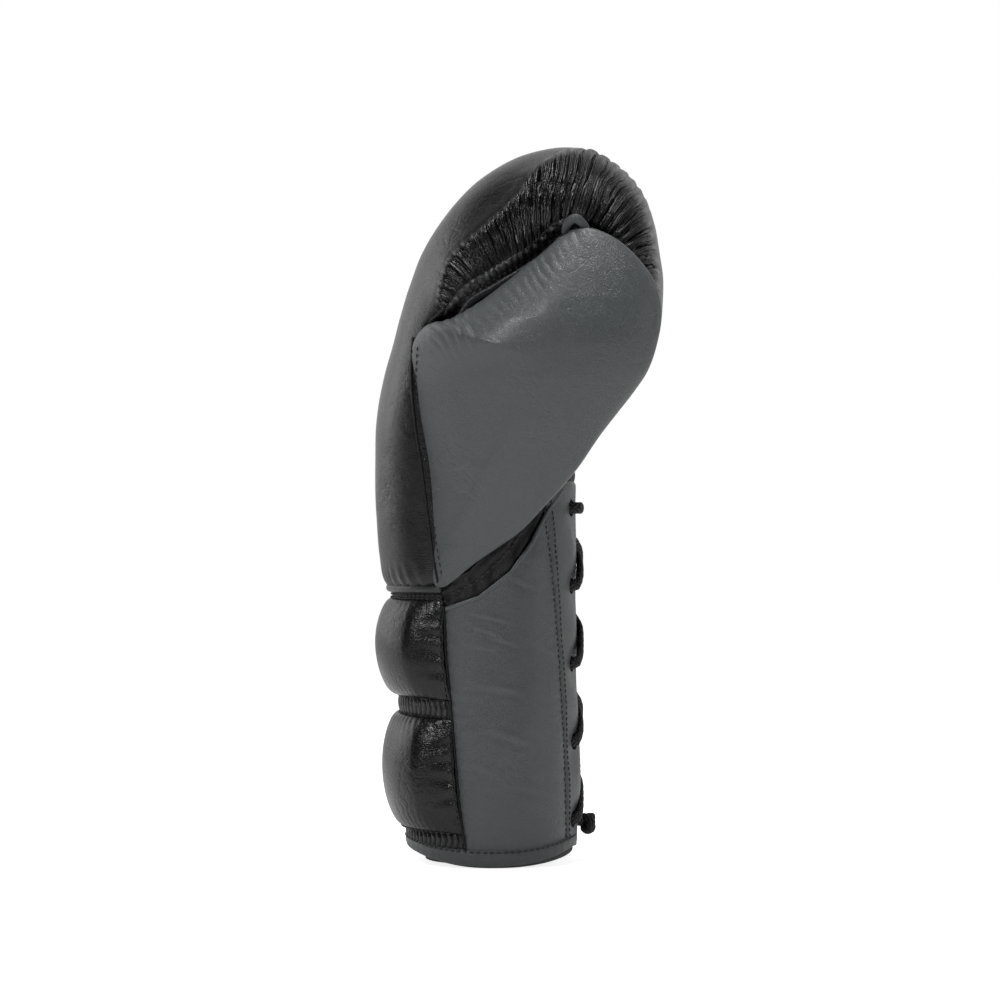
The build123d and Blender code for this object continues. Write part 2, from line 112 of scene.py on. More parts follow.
# Outline of the mitt's black back (x, z, share of the core line that the row starts from).
MITT_BACK = [
    (-48.5, 124, 0.0), (-50.6, 133, 0.06), (-52, 145, 0.13), (-52.9, 160, 0.22),
    (-53.1, 178, 0.33), (-52.8, 197, 0.44), (-51, 211, 0.52), (-48.8, 222, 0.58),
    (-45.7, 233, 0.63), (-42, 247, 0.68), (-38, 260, 0.72), (-33, 273, 0.76), (-26, 286, 0.79),
    (-17, 298, 0.82), (-6, 309, 0.85), (8, 317.5, 0.88), (21, 322, 0.91), (32, 323.3, 0.935),
    (44, 322, 0.955), (53, 317.5, 0.97), (62, 310.5, 0.98), (69, 301, 0.99), (73.5, 289, 0.996),
    (76, 276, 1.0), (77.4, 265, 0.99), (77, 251, 0.965), (75, 238, 0.93), (72, 228, 0.89),
    (66, 219.5, 0.84), (58, 215, 0.79), (51, 213.5, 0.74),
]
# Outline of its grey palm, from the crease under the fingers to the wrist.
MITT_PALM = [
    (51, 213, 0.74), (45.5, 208, 0.68), (42.5, 200, 0.60), (40.5, 190, 0.50), (39.5, 175, 0.38),
    (38.8, 155, 0.24), (38.2, 138, 0.11), (37.5, 118, 0.0),
]
# Edge of the smooth back panel, where the gathered side begins.
GATHER_LINE = [
    (60, 330), (40, 324), (30, 321), (23, 315.5), (15.5, 308), (12, 300), (3, 291),
    (-5.5, 283.5), (-13, 277.5), (-20.5, 269.5), (-24, 258), (-26.5, 241), (-27, 228),
]
# Line of the tie that holds the thumb to the mitt.
TIE_LINE = [(-19, 243.5), (-14, 253), (-1, 261.5), (18.5, 273.5), (32, 284.5), (40, 286.5)]

# Rim of the thumb (x, y, z, how gently it falls to the rim).
THUMB_RIM = [
    (-24, -49.5, 125, 0.9), (-26, -48.5, 140, 1.0), (-28.5, -47, 160, 1.05), (-31, -46, 180, 1.05),
    (-34, -45.5, 200, 1.05), (-35.5, -45.5, 220, 1.0), (-35, -47, 234, 0.8),
    (-30, -51, 240.5, 0.62), (-19, -56, 243.5, 0.55), (-8, -59, 249.5, 0.52),
    (5, -60.5, 259, 0.5), (20, -61.5, 271, 0.5), (33, -62, 281, 0.5), (42, -62.5, 283.5, 0.5),
    (50, -63, 281, 0.5), (59, -63.5, 275, 0.5), (66, -64, 267.5, 0.5), (71, -64, 260, 0.5),
    (74, -64, 250, 0.5), (74.2, -64, 243, 0.5), (72.5, -64, 233, 0.5), (68, -64, 220, 0.5),
    (62, -64, 211, 0.5), (55, -63.5, 202, 0.5), (48, -63, 193, 0.5), (37, -61.5, 177, 0.52),
    (23, -59, 161, 0.55), (12, -56.5, 149.5, 0.6), (3, -54.5, 143, 0.65), (-10, -52.5, 134, 0.7),
    (-18, -50.8, 127.5, 0.8), (-22, -50, 125, 0.85),
]
THUMB_MIDDLE = (20.0, 225.0)
# How far out the thumb's leather stands, by height.
THUMB_OUT = [
    (120, -52), (134, -57), (145, -61), (160, -67), (178, -73.5), (197, -79), (217, -83.5),
    (232, -85.5), (243, -85.5), (252, -84), (265, -80), (276, -75), (290, -68),
]

# Way of the lace (x, y, z).
LACE_FACE = 38.74
LACE_OVER, LACE_EDGE, LACE_UNDER = 39.2, 39.8, 30.9
LACE_CROSS = (39.4, 36.2)
LACE_PITCH = 35.0
LACE_HOLES = [160, 125, 90, 55, 20]
HOLE_Y = 21.0
HOLE_RADIUS = 3.8


# ---------------------------------------------------------------- shapes as arrays of points
def smooth_path(points, count, closed=False):
    """Evenly spaced points on a smooth line through the given ones, in any number of columns."""
    p = np.asarray(points, float)
    if closed:
        p = np.vstack([p[-3:], p, p[:4]])
    gaps = np.linalg.norm(np.diff(p[:, :3], axis=0), axis=1)
    t = np.concatenate([[0.0], np.cumsum(gaps)])
    slope = np.gradient(p, t, axis=0)
    low, high = (t[3], t[-4]) if closed else (t[0], t[-1])
    at = np.linspace(low, high, count, endpoint=not closed)
    k = np.clip(np.searchsorted(t, at, side="right") - 1, 0, len(t) - 2)
    h = (t[k + 1] - t[k])[:, None]
    u = ((at - t[k])[:, None]) / h
    start = (2 * u**3 - 3 * u**2 + 1) * p[k] + (u**3 - 2 * u**2 + u) * h * slope[k]
    return start + (3 * u**2 - 2 * u**3) * p[k + 1] + (u**3 - u**2) * h * slope[k + 1]


def ease(low, high, value):
    """0 below low, 1 above high, and smooth between."""
    t = np.clip((value - low) / (high - low), 0.0, 1.0)
    return t * t * (3 - 2 * t)


def unevenness(points, size, seed):
    """Smooth noise from -1 to 1 over points in mm, with lumps of about that size."""
    table = np.random.default_rng(seed).uniform(-1, 1, (64, 64, 64))
    place = np.asarray(points, float) / size + 500.0
    base = np.floor(place).astype(int)
    part = place - base
    part = part * part * (3 - 2 * part)
    total = np.zeros(place.shape[:-1])
    for corner in range(8):
        step = np.array([corner & 1, corner >> 1 & 1, corner >> 2 & 1])
        weight = np.prod(np.where(step, part, 1 - part), axis=-1)
        cell = (base + step) % 64
        total += weight * table[cell[..., 0], cell[..., 1], cell[..., 2]]
    return total


def side_distance(points, line, closed=False):
    """Distance in the side view from a line of (x, z), positive on its right or inside."""
    line = np.asarray(line, float)[:, :2]
    if closed:
        line = np.vstack([line, line[:1]])
    flat = np.asarray(points, float)[..., [0, 2]].reshape(-1, 2)
    best = np.full(len(flat), 1e9)
    side = np.zeros(len(flat))
    crossings = np.zeros(len(flat), int)
    for a, b in zip(line[:-1], line[1:]):
        run = b - a
        t = np.clip(((flat - a) @ run) / (run @ run), 0, 1)
        gap = flat - (a + t[:, None] * run)
        far = np.hypot(gap[:, 0], gap[:, 1])
        turn = run[0] * (flat[:, 1] - a[1]) - run[1] * (flat[:, 0] - a[0])
        nearer = far < best - 1e-9
        best[nearer] = far[nearer]
        side[nearer] = np.sign(turn[nearer])
        spans = (a[1] > flat[:, 1]) != (b[1] > flat[:, 1])
        rise = np.where(abs(run[1]) < 1e-9, 1e-9, run[1])
        crossings += spans & (flat[:, 0] < a[0] + (flat[:, 1] - a[1]) * run[0] / rise)
    sign = np.where(crossings % 2, 1, -1) if closed else side
    return (best * sign).reshape(np.asarray(points).shape[:-1])


def grid_normals(grid, inside, wrap=False):
    """Unit normals of a grid of points, pointing away from a point inside."""
    if wrap:
        across = np.roll(grid, -1, axis=1) - np.roll(grid, 1, axis=1)
    else:
        across = np.gradient(grid, axis=1)
    along = np.gradient(grid, axis=0)
    normal = np.cross(along, across)
    length = np.linalg.norm(normal, axis=-1, keepdims=True)
    normal = normal / np.maximum(length, 1e-9)
    away = (normal * (grid - np.asarray(inside, float))).sum(-1)
    weight = length[..., 0]
    return normal if (away * weight).sum() > 0 else -normal


def skin(name, grid, inside, wrap=False, thick=0.0, marks=None):
    """A mesh over a grid of points in mm, facing away from the inside, with a UV in metres."""
    grid = np.asarray(grid, float)
    rows, cols = grid.shape[:2]
    index = np.arange(rows * cols).reshape(rows, cols)
    if wrap:
        index = np.hstack([index, index[:, :1]])
    faces = np.stack([index[:-1, :-1], index[:-1, 1:], index[1:, 1:], index[1:, :-1]], -1)
    faces = faces.reshape(-1, 4)
    flat = grid.reshape(-1, 3)
    a, b, c = flat[faces[:, 0]], flat[faces[:, 1]], flat[faces[:, 2]]
    inward = (np.cross(b - a, c - a) * (a - np.asarray(inside, float))).sum() < 0
    if inward:
        faces = faces[:, ::-1]
    widths = np.linalg.norm(np.diff(grid, axis=1), axis=-1).mean(0)
    heights = np.linalg.norm(np.diff(grid, axis=0), axis=-1).mean(1)
    u = np.concatenate([[0], np.cumsum(widths)])
    v = np.concatenate([[0], np.cumsum(heights)])
    if wrap:
        u = np.append(u, u[-1] + widths.mean())
    mesh = bpy.data.meshes.new(name)
    mesh.from_pydata((flat * MM).tolist(), [], faces.tolist())
    layer = mesh.uv_layers.new(name="UVMap")
    uu, vv = np.meshgrid(np.arange(len(u) - 1), np.arange(rows - 1))
    corners = np.stack(
        [
            np.stack([u[uu], v[vv]], -1), np.stack([u[uu + 1], v[vv]], -1),
            np.stack([u[uu + 1], v[vv + 1]], -1), np.stack([u[uu], v[vv + 1]], -1),
        ],
        2,
    ).reshape(-1, 4, 2)
    if inward:
        corners = corners[:, ::-1]
    layer.data.foreach_set("uv", (corners * MM).astype(np.float32).ravel())
    mesh.polygons.foreach_set("use_smooth", np.ones(len(faces), bool))
    for mark, values in (marks or {}).items():
        held = mesh.attributes.new(mark, "FLOAT", "POINT")
        held.data.foreach_set("value", np.asarray(values, np.float32).ravel())
    piece = bpy.data.objects.new(name, mesh)
    bpy.context.scene.collection.objects.link(piece)
    if thick:
        pick(piece)
        wall = piece.modifiers.new("Wall", "SOLIDIFY")
        wall.thickness = thick * MM
        wall.offset = -1.0
        bpy.ops.object.modifier_apply(modifier="Wall")
    return piece


def pick(*pieces):
    """Selects only these pieces, the first one active."""
    if bpy.context.object and bpy.context.object.mode != "OBJECT":
        bpy.ops.object.mode_set(mode="OBJECT")
    bpy.ops.object.select_all(action="DESELECT")
    for piece in pieces:
        piece.select_set(True)
    bpy.context.view_layer.objects.active = pieces[0]


def merge_doubles(piece, near):
    """Merges the points of a mesh that lie together."""
    work = bmesh.new()
    work.from_mesh(piece.data)
    bmesh.ops.remove_doubles(work, verts=work.verts, dist=near)
    work.to_mesh(piece.data)
    work.free()
    piece.data.update()


def close_ends(piece):
    """Fills the open loops of a mesh."""
    work = bmesh.new()
    work.from_mesh(piece.data)
    bmesh.ops.holes_fill(work, edges=work.edges, sides=0)
    bmesh.ops.recalc_face_normals(work, faces=work.faces)
    work.to_mesh(piece.data)
    work.free()
    piece.data.update()
    return piece


def frames_along(path, outward):
    """Unit tangents, sideways and outward directions along a line of points."""
    tangent = np.gradient(path, axis=0)
    tangent /= np.maximum(np.linalg.norm(tangent, axis=1, keepdims=True), 1e-9)
    out = np.asarray(outward, float)
    if out.ndim == 1:
        out = np.repeat(out[None], len(path), 0)
    out = out - (out * tangent).sum(1, keepdims=True) * tangent
    out /= np.maximum(np.linalg.norm(out, axis=1, keepdims=True), 1e-9)
    return tangent, np.cross(tangent, out), out


def cord_skin(name, path, radius, outward, sides=12, flat=1.0):
    """A closed tube along a line of points, flattened towards the surface that it lies on."""
    path = np.asarray(path, float)
    tangent, side, out = frames_along(path, outward)
    turn = np.linspace(0, 2 * np.pi, sides, endpoint=False)[None, :, None]
    size = np.broadcast_to(radius, len(path))[:, None, None]
    ring = np.cos(turn) * side[:, None] + flat * np.sin(turn) * out[:, None]
    piece = skin(name, path[:, None] + size * ring, path.mean(0), wrap=True)
    return close_ends(piece)


def stitches(name, runs, length=2.3, thread=0.42):
    """Rows of stitches as one mesh: each run is (points, outward directions, pitch)."""
    turn = np.linspace(0, 2 * np.pi, 5, endpoint=False)
    shares = np.array([-0.5, -0.36, 0.0, 0.36, 0.5])
    swell = np.array([0.25, 0.85, 1.0, 0.85, 0.25])
    sink = np.array([-0.45, 0.05, 0.35, 0.05, -0.45])
    points, faces = [], []
    for path, outward, pitch in runs:
        path = np.asarray(path, float)
        run = np.concatenate([[0], np.cumsum(np.linalg.norm(np.diff(path, axis=0), axis=1))])
        count = max(int(run[-1] / pitch), 1)
        at = (np.arange(count) + 0.5) * run[-1] / count
        out = np.asarray(outward, float)
        if out.ndim == 1:
            out = np.repeat(out[None], len(path), 0)
        mid = np.stack([np.interp(at, run, path[:, k]) for k in range(3)], 1)
        ahead = np.stack([np.interp(at + 0.5, run, path[:, k]) for k in range(3)], 1)
        behind = np.stack([np.interp(at - 0.5, run, path[:, k]) for k in range(3)], 1)
        up = np.stack([np.interp(at, run, out[:, k]) for k in range(3)], 1)
        tangent = ahead - behind
        tangent /= np.maximum(np.linalg.norm(tangent, axis=1, keepdims=True), 1e-9)
        up -= (up * tangent).sum(1, keepdims=True) * tangent
        up /= np.maximum(np.linalg.norm(up, axis=1, keepdims=True), 1e-9)
        side = np.cross(tangent, up)
        for place, t, n, s in zip(mid, tangent, up, side):
            base = len(points)
            for share, size, lift in zip(shares, swell, sink):
                centre = place + t * share * length + n * (lift * thread + 0.1)
                for a in turn:
                    points.append(centre + size * thread * (math.cos(a) * s + math.sin(a) * n))
            for ring in range(4):
                for k in range(5):
                    one, two = base + ring * 5 + k, base + ring * 5 + (k + 1) % 5
                    faces.append((one, two, two + 5, one + 5))
            faces.append(tuple(base + k for k in range(4, -1, -1)))
            faces.append(tuple(base + 20 + k for k in range(5)))
    mesh = bpy.data.meshes.new(name)
    mesh.from_pydata((np.array(points) * MM).tolist(), [], faces)
    mesh.polygons.foreach_set("use_smooth", np.ones(len(faces), bool))
    piece = bpy.data.objects.new(name, mesh)
    bpy.context.scene.collection.objects.link(piece)
    return piece


def sewn(name, rows, hold, **size):
    """Rows of stitches in waxed thread, moved as the piece that they sew."""
    sewing = stitches(name, rows, **size)
    dress(sewing, "thread")
    hold(sewing)


def laid_on(pieces, points, toward, lift=0.0, reach=60.0):
    """Points dropped along a direction on to the outermost of the pieces, and normals there."""
    graph = bpy.context.evaluated_depsgraph_get()
    trees = [BVHTree.FromObject(piece, graph) for piece in pieces]
    ways = np.broadcast_to(np.asarray(toward, float), (len(points), 3))
    placed, normals = [], []
    for point, way in zip(np.asarray(points, float), ways):
        way = Vector(way.tolist()).normalized()
        start = Vector((point * MM).tolist()) - way * (reach * MM)
        found = [tree.ray_cast(start, way, 2 * reach * MM) for tree in trees]
        found = [hit for hit in found if hit[0] is not None]
        if found:
            spot, normal, _, _ = min(found, key=lambda hit: hit[3])
            normal = normal if normal.dot(way) < 0 else -normal
            placed.append(np.array(spot) / MM + np.array(normal) * lift)
            normals.append(np.array(normal))
    return np.array(placed), np.array(normals)


def as_path(points, count):
    """A smooth side-view line (x, z) as points at y 0."""
    line = smooth_path(points, count)
    return np.stack([line[:, 0], np.zeros(count), line[:, 1]], 1)


# ---------------------------------------------------------------- the cuff's ovals
def heights_of(line, x):
    """Height of a side-view line at x."""
    xs, zs = np.array(line, float).T[:2]
    return np.interp(x, xs, zs)


def cuff_at(z):
    """Middle, half depth and half width of the cuff at a height."""
    zs, backs, halves = np.array(CUFF).T
    back, half = np.interp(z, zs, backs), np.interp(z, zs, halves)
    return (back + CUFF_FRONT) / 2, (CUFF_FRONT - back) / 2, half


def cuff_point(z, turn, out):
    """Point of the cuff at a height and turn, from 0 at the palm to pi at the back."""
    middle, deep, half = cuff_at(z)
    c, s = np.cos(turn), np.sin(turn)
    x = middle + (deep + out) * np.sign(c) * np.abs(c) ** (2 / SQUARE)
    y = (half + out) * np.sign(s) * np.abs(s) ** (2 / SQUARE)
    return np.stack([x, y, z + 0 * x], -1)


def turn_at_x(z, x):
    """Turn at which the cuff's side reaches an x."""
    middle, deep, _ = cuff_at(z)
    share = np.clip((x - middle) / deep, -1, 1)
    return np.arccos(np.sign(share) * np.abs(share) ** (SQUARE / 2))


def turn_at_y(z, y):
    """Turn at which the cuff's palm side reaches a distance from the middle."""
    return np.arcsin(np.clip(y / cuff_at(z)[2], 0, 1) ** (SQUARE / 2))


def side_seam(z):
    """Where the corded seam between the rolls and the side panel lies."""
    heights = [0, 10, 30, 55, 75, 95, 118]
    return np.interp(z, heights, [-11.5, -12.2, -15.0, -17.0, -18.7, -20.6, -21.6])


def facing_seam(z):
    """Half width of the laced strips at their outer seam."""
    return 27.0 + 13.0 * (z - 9.0) / 163.0


def away_from_middle(points, z=60.0):
    """Level directions to points on the cuff from its middle line."""
    return points * (1, 1, 0) - (cuff_at(z)[0], 0, 0)


def cuff_grid(low, high, start, stop, rows, cols, side, out):
    """A grid on the cuff between two heights of x and two turns of z, at an outward distance."""
    share = np.linspace(0, 1, rows)[:, None] + np.zeros((1, cols))
    z = np.full((rows, cols), 60.0)
    # Columns are spaced evenly round the oval at mid height.
    dense = np.linspace(start(90.0), stop(90.0), 400)
    trail = cuff_point(90.0 + 0 * dense, dense, 0.0)
    run = np.concatenate([[0], np.cumsum(np.linalg.norm(np.diff(trail, axis=0), axis=1))])
    part = (dense - dense[0]) / (dense[-1] - dense[0])
    even = np.interp(np.linspace(0, run[-1], cols), run, part)
    for _ in range(4):
        turn = start(z) + (stop(z) - start(z)) * even[None, :]
        place = cuff_point(z, turn, 0.0)
        z = low(place[..., 0]) + share * (high(place[..., 0]) - low(place[..., 0]))
    distance = out(share, even[None, :] + 0 * share, place)
    turn = start(z) + (stop(z) - start(z)) * even[None, :]
    grid = cuff_point(z, turn, distance)
    grid[..., 1] *= side
    return grid


# ---------------------------------------------------------------- the mitt's rows
def mitt_rows(outline, rows, cols):
    """Rows of the mitt from its core line on the thumb side, over its outline, to the other."""
    keys = smooth_path([(x, z, share * 120.0) for x, z, share in outline], rows)
    core = smooth_path(MITT_CORE, 241)
    at = np.clip(keys[:, 2] / 120.0, 0, 1) * 240
    middle = np.stack([np.interp(at, np.arange(241), core[:, k]) for k in range(4)], 1)
    turn = np.linspace(-np.pi / 2, np.pi / 2, cols)
    reach = np.abs(np.cos(turn)) ** (2 / SQUARE)
    reach[[0, -1]] = 0.0
    wide = np.abs(np.sin(turn)) ** (2 / SQUARE)
    x = middle[:, 0, None] + (keys[:, 0] - middle[:, 0])[:, None] * reach
    z = middle[:, 1, None] + (keys[:, 1] - middle[:, 1])[:, None] * reach
    y = np.where(turn < 0, -middle[:, 2, None], middle[:, 3, None]) * wide
    run = np.concatenate([[0], np.cumsum(np.hypot(*np.diff(keys[:, :2], axis=0).T))])
    return np.stack([x, y, z], -1), run[:, None] + 0 * x, reach[None, :] + 0 * x


def seat_for_thumb(grid):
    """Flattens the side of the mitt where the thumb lies against it."""
    rim = [(p[0], p[2]) for p in smooth_path(THUMB_RIM, 120, closed=True)]
    depth = side_distance(grid, rim, closed=True)
    limit = 49.3 + 1.7 * np.maximum(0, -(depth + 1.0))
    y = grid[..., 1]
    soft = -np.where(-y > limit - 3, limit - 3 + 3 * np.tanh((-y - limit + 3) / 3), -y)
    grid[..., 1] = np.where(y < 0, soft, y)
    return grid


def trimmed(grid, line, rows):
    """Cuts every column of a grid off at a side-view line below it, and spaces it evenly again."""
    over = grid[..., 2] - heights_of(line, grid[..., 0])
    result = np.zeros((rows, grid.shape[1], 3))
    for col in range(grid.shape[1]):
        below = np.nonzero(over[:, col] < 0)[0]
        end = len(grid) - 1.0
        if len(below) and below[0] > 0:
            k = below[0]
            end = k - 1 + over[k - 1, col] / (over[k - 1, col] - over[k, col])
        at = np.linspace(0, end, rows)
        for axis in range(3):
            result[:, col, axis] = np.interp(at, np.arange(len(grid)), grid[:, col, axis])
    return result


# ---------------------------------------------------------------- materials
class Link:
    """One output of a node, with arithmetic that adds Math nodes."""

    def __init__(self, finish, socket):
        self.finish = finish
        self.socket = socket

    def maths(self, operation, *values):
        settings = {"operation": operation}
        return self.finish.node("ShaderNodeMath", settings, dict(enumerate(values)))

    def __add__(self, other):
        return self.maths("ADD", self, other)

    def __radd__(self, other):
        return self.maths("ADD", other, self)

    def __sub__(self, other):
        return self.maths("SUBTRACT", self, other)

    def __rsub__(self, other):
        return self.maths("SUBTRACT", other, self)

    def __mul__(self, other):
        return self.maths("MULTIPLY", self, other)

    def __rmul__(self, other):
        return self.maths("MULTIPLY", other, self)

    def __pow__(self, other):
        return self.maths("POWER", self, other)

    def __abs__(self):
        return self.maths("ABSOLUTE", self)

    def sine(self):
        return self.maths("SINE", self)

    def larger(self, other):
        return self.maths("MAXIMUM", self, other)

    def between(self, low, high):
        """0 at low and 1 at high, smooth and clamped."""
        settings = {"interpolation_type": "SMOOTHSTEP"}
        values = {"Value": self, "From Min": low, "From Max": high}
        return self.finish.node("ShaderNodeMapRange", settings, values)


class Finish:
    """A material and its shader, with one method that adds any other node."""

    def __init__(self, name):
        self.material = bpy.data.materials.new(name)
        self.material.use_nodes = True
        self.tree = self.material.node_tree
        self.tree.nodes.clear()
        self.shader = self.tree.nodes.new("ShaderNodeBsdfPrincipled")
        output = self.tree.nodes.new("ShaderNodeOutputMaterial")
        self.tree.links.new(self.shader.outputs[0], output.inputs[0])

    def fill(self, socket, value):
        if isinstance(value, Link):
            self.tree.links.new(value.socket, socket)
        else:
            socket.default_value = value

    def node(self, kind, settings=None, values=None, out=0):
        made = self.tree.nodes.new(kind)
        for name, value in (settings or {}).items():
            setattr(made, name, value)
        for place, value in (values or {}).items():
            self.fill(made.inputs[place], value)
        return Link(self, made.outputs[out])

    def set(self, **values):
        """Fills the shader's sockets, named with underscores."""
        for name, value in values.items():
            self.fill(self.shader.inputs[name.replace("_", " ")], value)
        return self.material

    def blend(self, share, first, second):
        """A colour between two."""
        settings = {"data_type": "RGBA", "clamp_factor": True}
        return self.node("ShaderNodeMix", settings, {0: share, 6: first, 7: second}, 2)

    def relief(self, height, depth, strength=1.0, under=None):
        """A bump of a height in shares of a depth in metres."""
        values = {"Height": height, "Distance": depth, "Strength": strength}
        if under:
            values["Normal"] = under
        return self.node("ShaderNodeBump", None, values)


def shade(colour, share):
    return (colour[0] * share, colour[1] * share, colour[2] * share, 1.0)


def leather(
    name, colour, gloss, grain=1.0, folds=1.0, mottle=0.12, coat=0.0, cracks=0.0, shine=0.5,
    gathered=False,
):
    """Full-grain leather: pores, a pebbled surface, soft folds and uneven dye."""
    f = Finish(name)
    place = f.node("ShaderNodeTexCoord", out="Object")

    def lumps(size, detail=2.0, twist=0.0):
        values = {"Vector": place, "Scale": 1.0 / size, "Detail": detail, "Distortion": twist}
        return f.node("ShaderNodeTexNoise", None, values)

    cells = f.node(
        "ShaderNodeTexVoronoi", {"feature": "DISTANCE_TO_EDGE"},
        {"Vector": place, "Scale": 1150.0, "Randomness": 1.0},
    )
    pebble = cells.between(0.0, 0.28)
    dye, rub, fine = lumps(0.045, 4.0), lumps(0.012, 3.0), lumps(0.0016, 2.0)
    # Fine wrinkles are the edges of warped cells.
    stray = f.node("ShaderNodeTexNoise", None, {"Vector": place, "Scale": 140.0, "Detail": 3.0}, 1)
    warp = f.node("ShaderNodeVectorMath", {"operation": "SCALE"}, {0: stray, 3: 0.006})
    bent = f.node("ShaderNodeVectorMath", {"operation": "ADD"}, {0: place, 1: warp})
    cracked = f.node(
        "ShaderNodeTexVoronoi", {"feature": "DISTANCE_TO_EDGE"}, {"Vector": bent, "Scale": 165.0})
    where = lumps(0.03, 2.0).between(0.46, 0.70)
    wrinkle = 1.0 - cracked.between(0.0, 0.16)
    uneven = dye * 0.7 + rub * 0.3
    tone = f.blend(uneven, shade(colour, 1 - 2.2 * mottle), shade(colour, 1 + 2.2 * mottle))
    tone = f.blend((1.0 - pebble) * 0.22 * grain, tone, shade(colour, 0.45))
    if cracks:
        tone = f.blend(wrinkle * where * cracks, tone, shade(colour, 2.4))
    if gathered:
        # Fine gathers run across the rows of the piece, where it says so.
        mask = f.node("ShaderNodeAttribute", {"attribute_name": "Gather"}, out=2)
        spread = f.node("ShaderNodeTexCoord", out="UV")
        rows = f.node("ShaderNodeSeparateXYZ", None, {"Vector": spread}, 1)
        sway = lumps(0.030, 2.0) * 7.0 + lumps(0.010, 1.0) * 0.9
        narrow = abs((rows * (math.pi / 0.0031) + sway).sine()) ** 0.6
        hair = abs((rows * (math.pi / 0.0013) + sway * 2.3).sine())
    height = pebble * 0.5 + fine * 0.5
    low = f.relief(rub * 0.9 - where * wrinkle * 0.30, 0.0006 * folds, 0.8)
    if gathered:
        low = f.relief((narrow * 0.8 + hair * 0.25) * mask, 0.0018, 1.0, low)
    normal = f.relief(height, 0.00016 * grain, 0.9, low)
    rough = gloss + (uneven - 0.5) * 0.14 + (1.0 - pebble) * 0.08
    f.set(Base_Color=tone, Roughness=rough, Normal=normal, Coat_Weight=coat)
    f.set(Coat_Roughness=0.22, IOR=1.5, Specular_IOR_Level=shine)
    return f.material


def woven(name, colour, pitch, rough=0.85, sheen=0.2):
    """Closely woven lining cloth."""
    f = Finish(name)
    place = f.node("ShaderNodeTexCoord", out="Object")
    x, y, z = (f.node("ShaderNodeSeparateXYZ", None, {"Vector": place}, k) for k in range(3))
    turn = 2 * math.pi / pitch
    warp = ((x + y) * turn).sine()
    weft = (z * turn).sine()
    weave = warp * weft * 0.5 + 0.5
    soft = f.node("ShaderNodeTexNoise", None, {"Vector": place, "Scale": 60.0, "Detail": 3.0})
    tone = f.blend(weave * 0.5 + soft * 0.5, shade(colour, 0.6), shade(colour, 1.35))
    normal = f.relief(weave, 0.00025, 0.7)
    f.set(Base_Color=tone, Roughness=rough - weave * 0.08, Normal=normal)
    f.set(Sheen_Weight=sheen, Sheen_Roughness=0.5)
    return f.material


def braid(name, colour, strand):
    """Round braided cord, along the piece's own UV, with painted shade between the strands and
    painted highlights on their crowns.
    """
    f = Finish(name)
    place = f.node("ShaderNodeTexCoord", out="UV")
    around, along = (f.node("ShaderNodeSeparateXYZ", None, {"Vector": place}, k) for k in range(2))
    turn = math.pi / strand
    right = abs(((along + around) * turn).sine())
    left = abs(((along - around) * turn).sine())
    over = ((along * turn * 0.5).sine() * (around * turn * 0.5).sine()).between(-0.2, 0.2)
    height = right * over + left * (1.0 - over)
    fuzz = f.node("ShaderNodeTexNoise", None, {"Vector": place, "Scale": 2600.0, "Detail": 2.0})
    # Painted shade and highlight: the colour is darker in the grooves between strands and lighter
    # on their crowns.
    tone = f.blend(height * 0.8 + fuzz * 0.2, shade(colour, 0.35), shade(colour, 1.7))
    normal = f.relief(height * 0.85 + fuzz * 0.15, 0.0007, 1.0)
    f.set(Base_Color=tone, Roughness=0.62 + fuzz * 0.2, Normal=normal)
    return f.material


def thread(name, colour):
    """Waxed sewing thread."""
    f = Finish(name)
    place = f.node("ShaderNodeTexCoord", out="Object")
    ply = f.node("ShaderNodeTexNoise", None, {"Vector": place, "Scale": 2400.0, "Detail": 1.0})
    tone = f.blend(ply, shade(colour, 0.6), shade(colour, 1.6))
    f.set(Base_Color=tone, Roughness=0.4 + ply * 0.25, Normal=f.relief(ply, 0.0002, 0.6))
    return f.material


def plain_floor(name, colour):
    """The pale ground under the glove."""
    f = Finish(name)
    place = f.node("ShaderNodeTexCoord", out="Object")
    soft = f.node("ShaderNodeTexNoise", None, {"Vector": place, "Scale": 3.0})
    tone = f.blend(soft, shade(colour, 0.99), shade(colour, 1.01))
    # Its glow is for the eye and hardly lights the glove.
    seen = f.node("ShaderNodeLightPath") * 0.85 + 0.15
    glow = f.blend(seen, (0.0, 0.0, 0.0, 1.0), tone)
    f.set(Base_Color=tone, Roughness=0.9, Emission_Color=glow, Emission_Strength=0.9)
    return f.material


def finish_of(kind):
    """The glove's materials, each made once from the panel's colours."""
    if kind in FINISHES:
        return FINISHES[kind]
    looks = bpy.context.scene.glove_looks
    black, grey = list(looks.black_leather), list(looks.grey_leather)
    polished = {"grain": 0.6, "folds": 0.8, "cracks": 0.10, "shine": 0.42}
    makers = {
        "black": lambda: leather("Black_leather", black, 0.22, **polished),
        "black_gathered": lambda: leather(
            "Black_gathered_leather", black, 0.20, **polished, gathered=True
        ),
        "black_soft": lambda: leather(
            "Black_gusset_leather", shade(black, 1.1), 0.40, folds=0.7, shine=0.34
        ),
        "grey": lambda: leather("Grey_leather", grey, 0.34, mottle=0.05, coat=0.08, cracks=0.03),
        "grey_trim": lambda: leather("Grey_trim_leather", shade(grey, 0.9), 0.38, folds=0.4),
        "trim": lambda: leather("Dark_trim_leather", list(looks.trim), 0.27, folds=0.5),
        "thread": lambda: thread("Waxed_thread", list(looks.thread)),
        "lining": lambda: woven("Lining_cloth", list(looks.lining), 0.0011),
        "lace": lambda: braid("Braided_lace_with_painted_shade", list(looks.lace), 0.0019),
    }
    FINISHES[kind] = makers[kind]()
    return FINISHES[kind]


FINISHES = {}


def dress(piece, kind):
    """Gives a piece its material."""
    piece.data.materials.clear()
    piece.data.materials.append(finish_of(kind))
    return piece


def at(x, y, z):
    """A point in metres from one in mm."""
    return (x * MM, y * MM, z * MM)


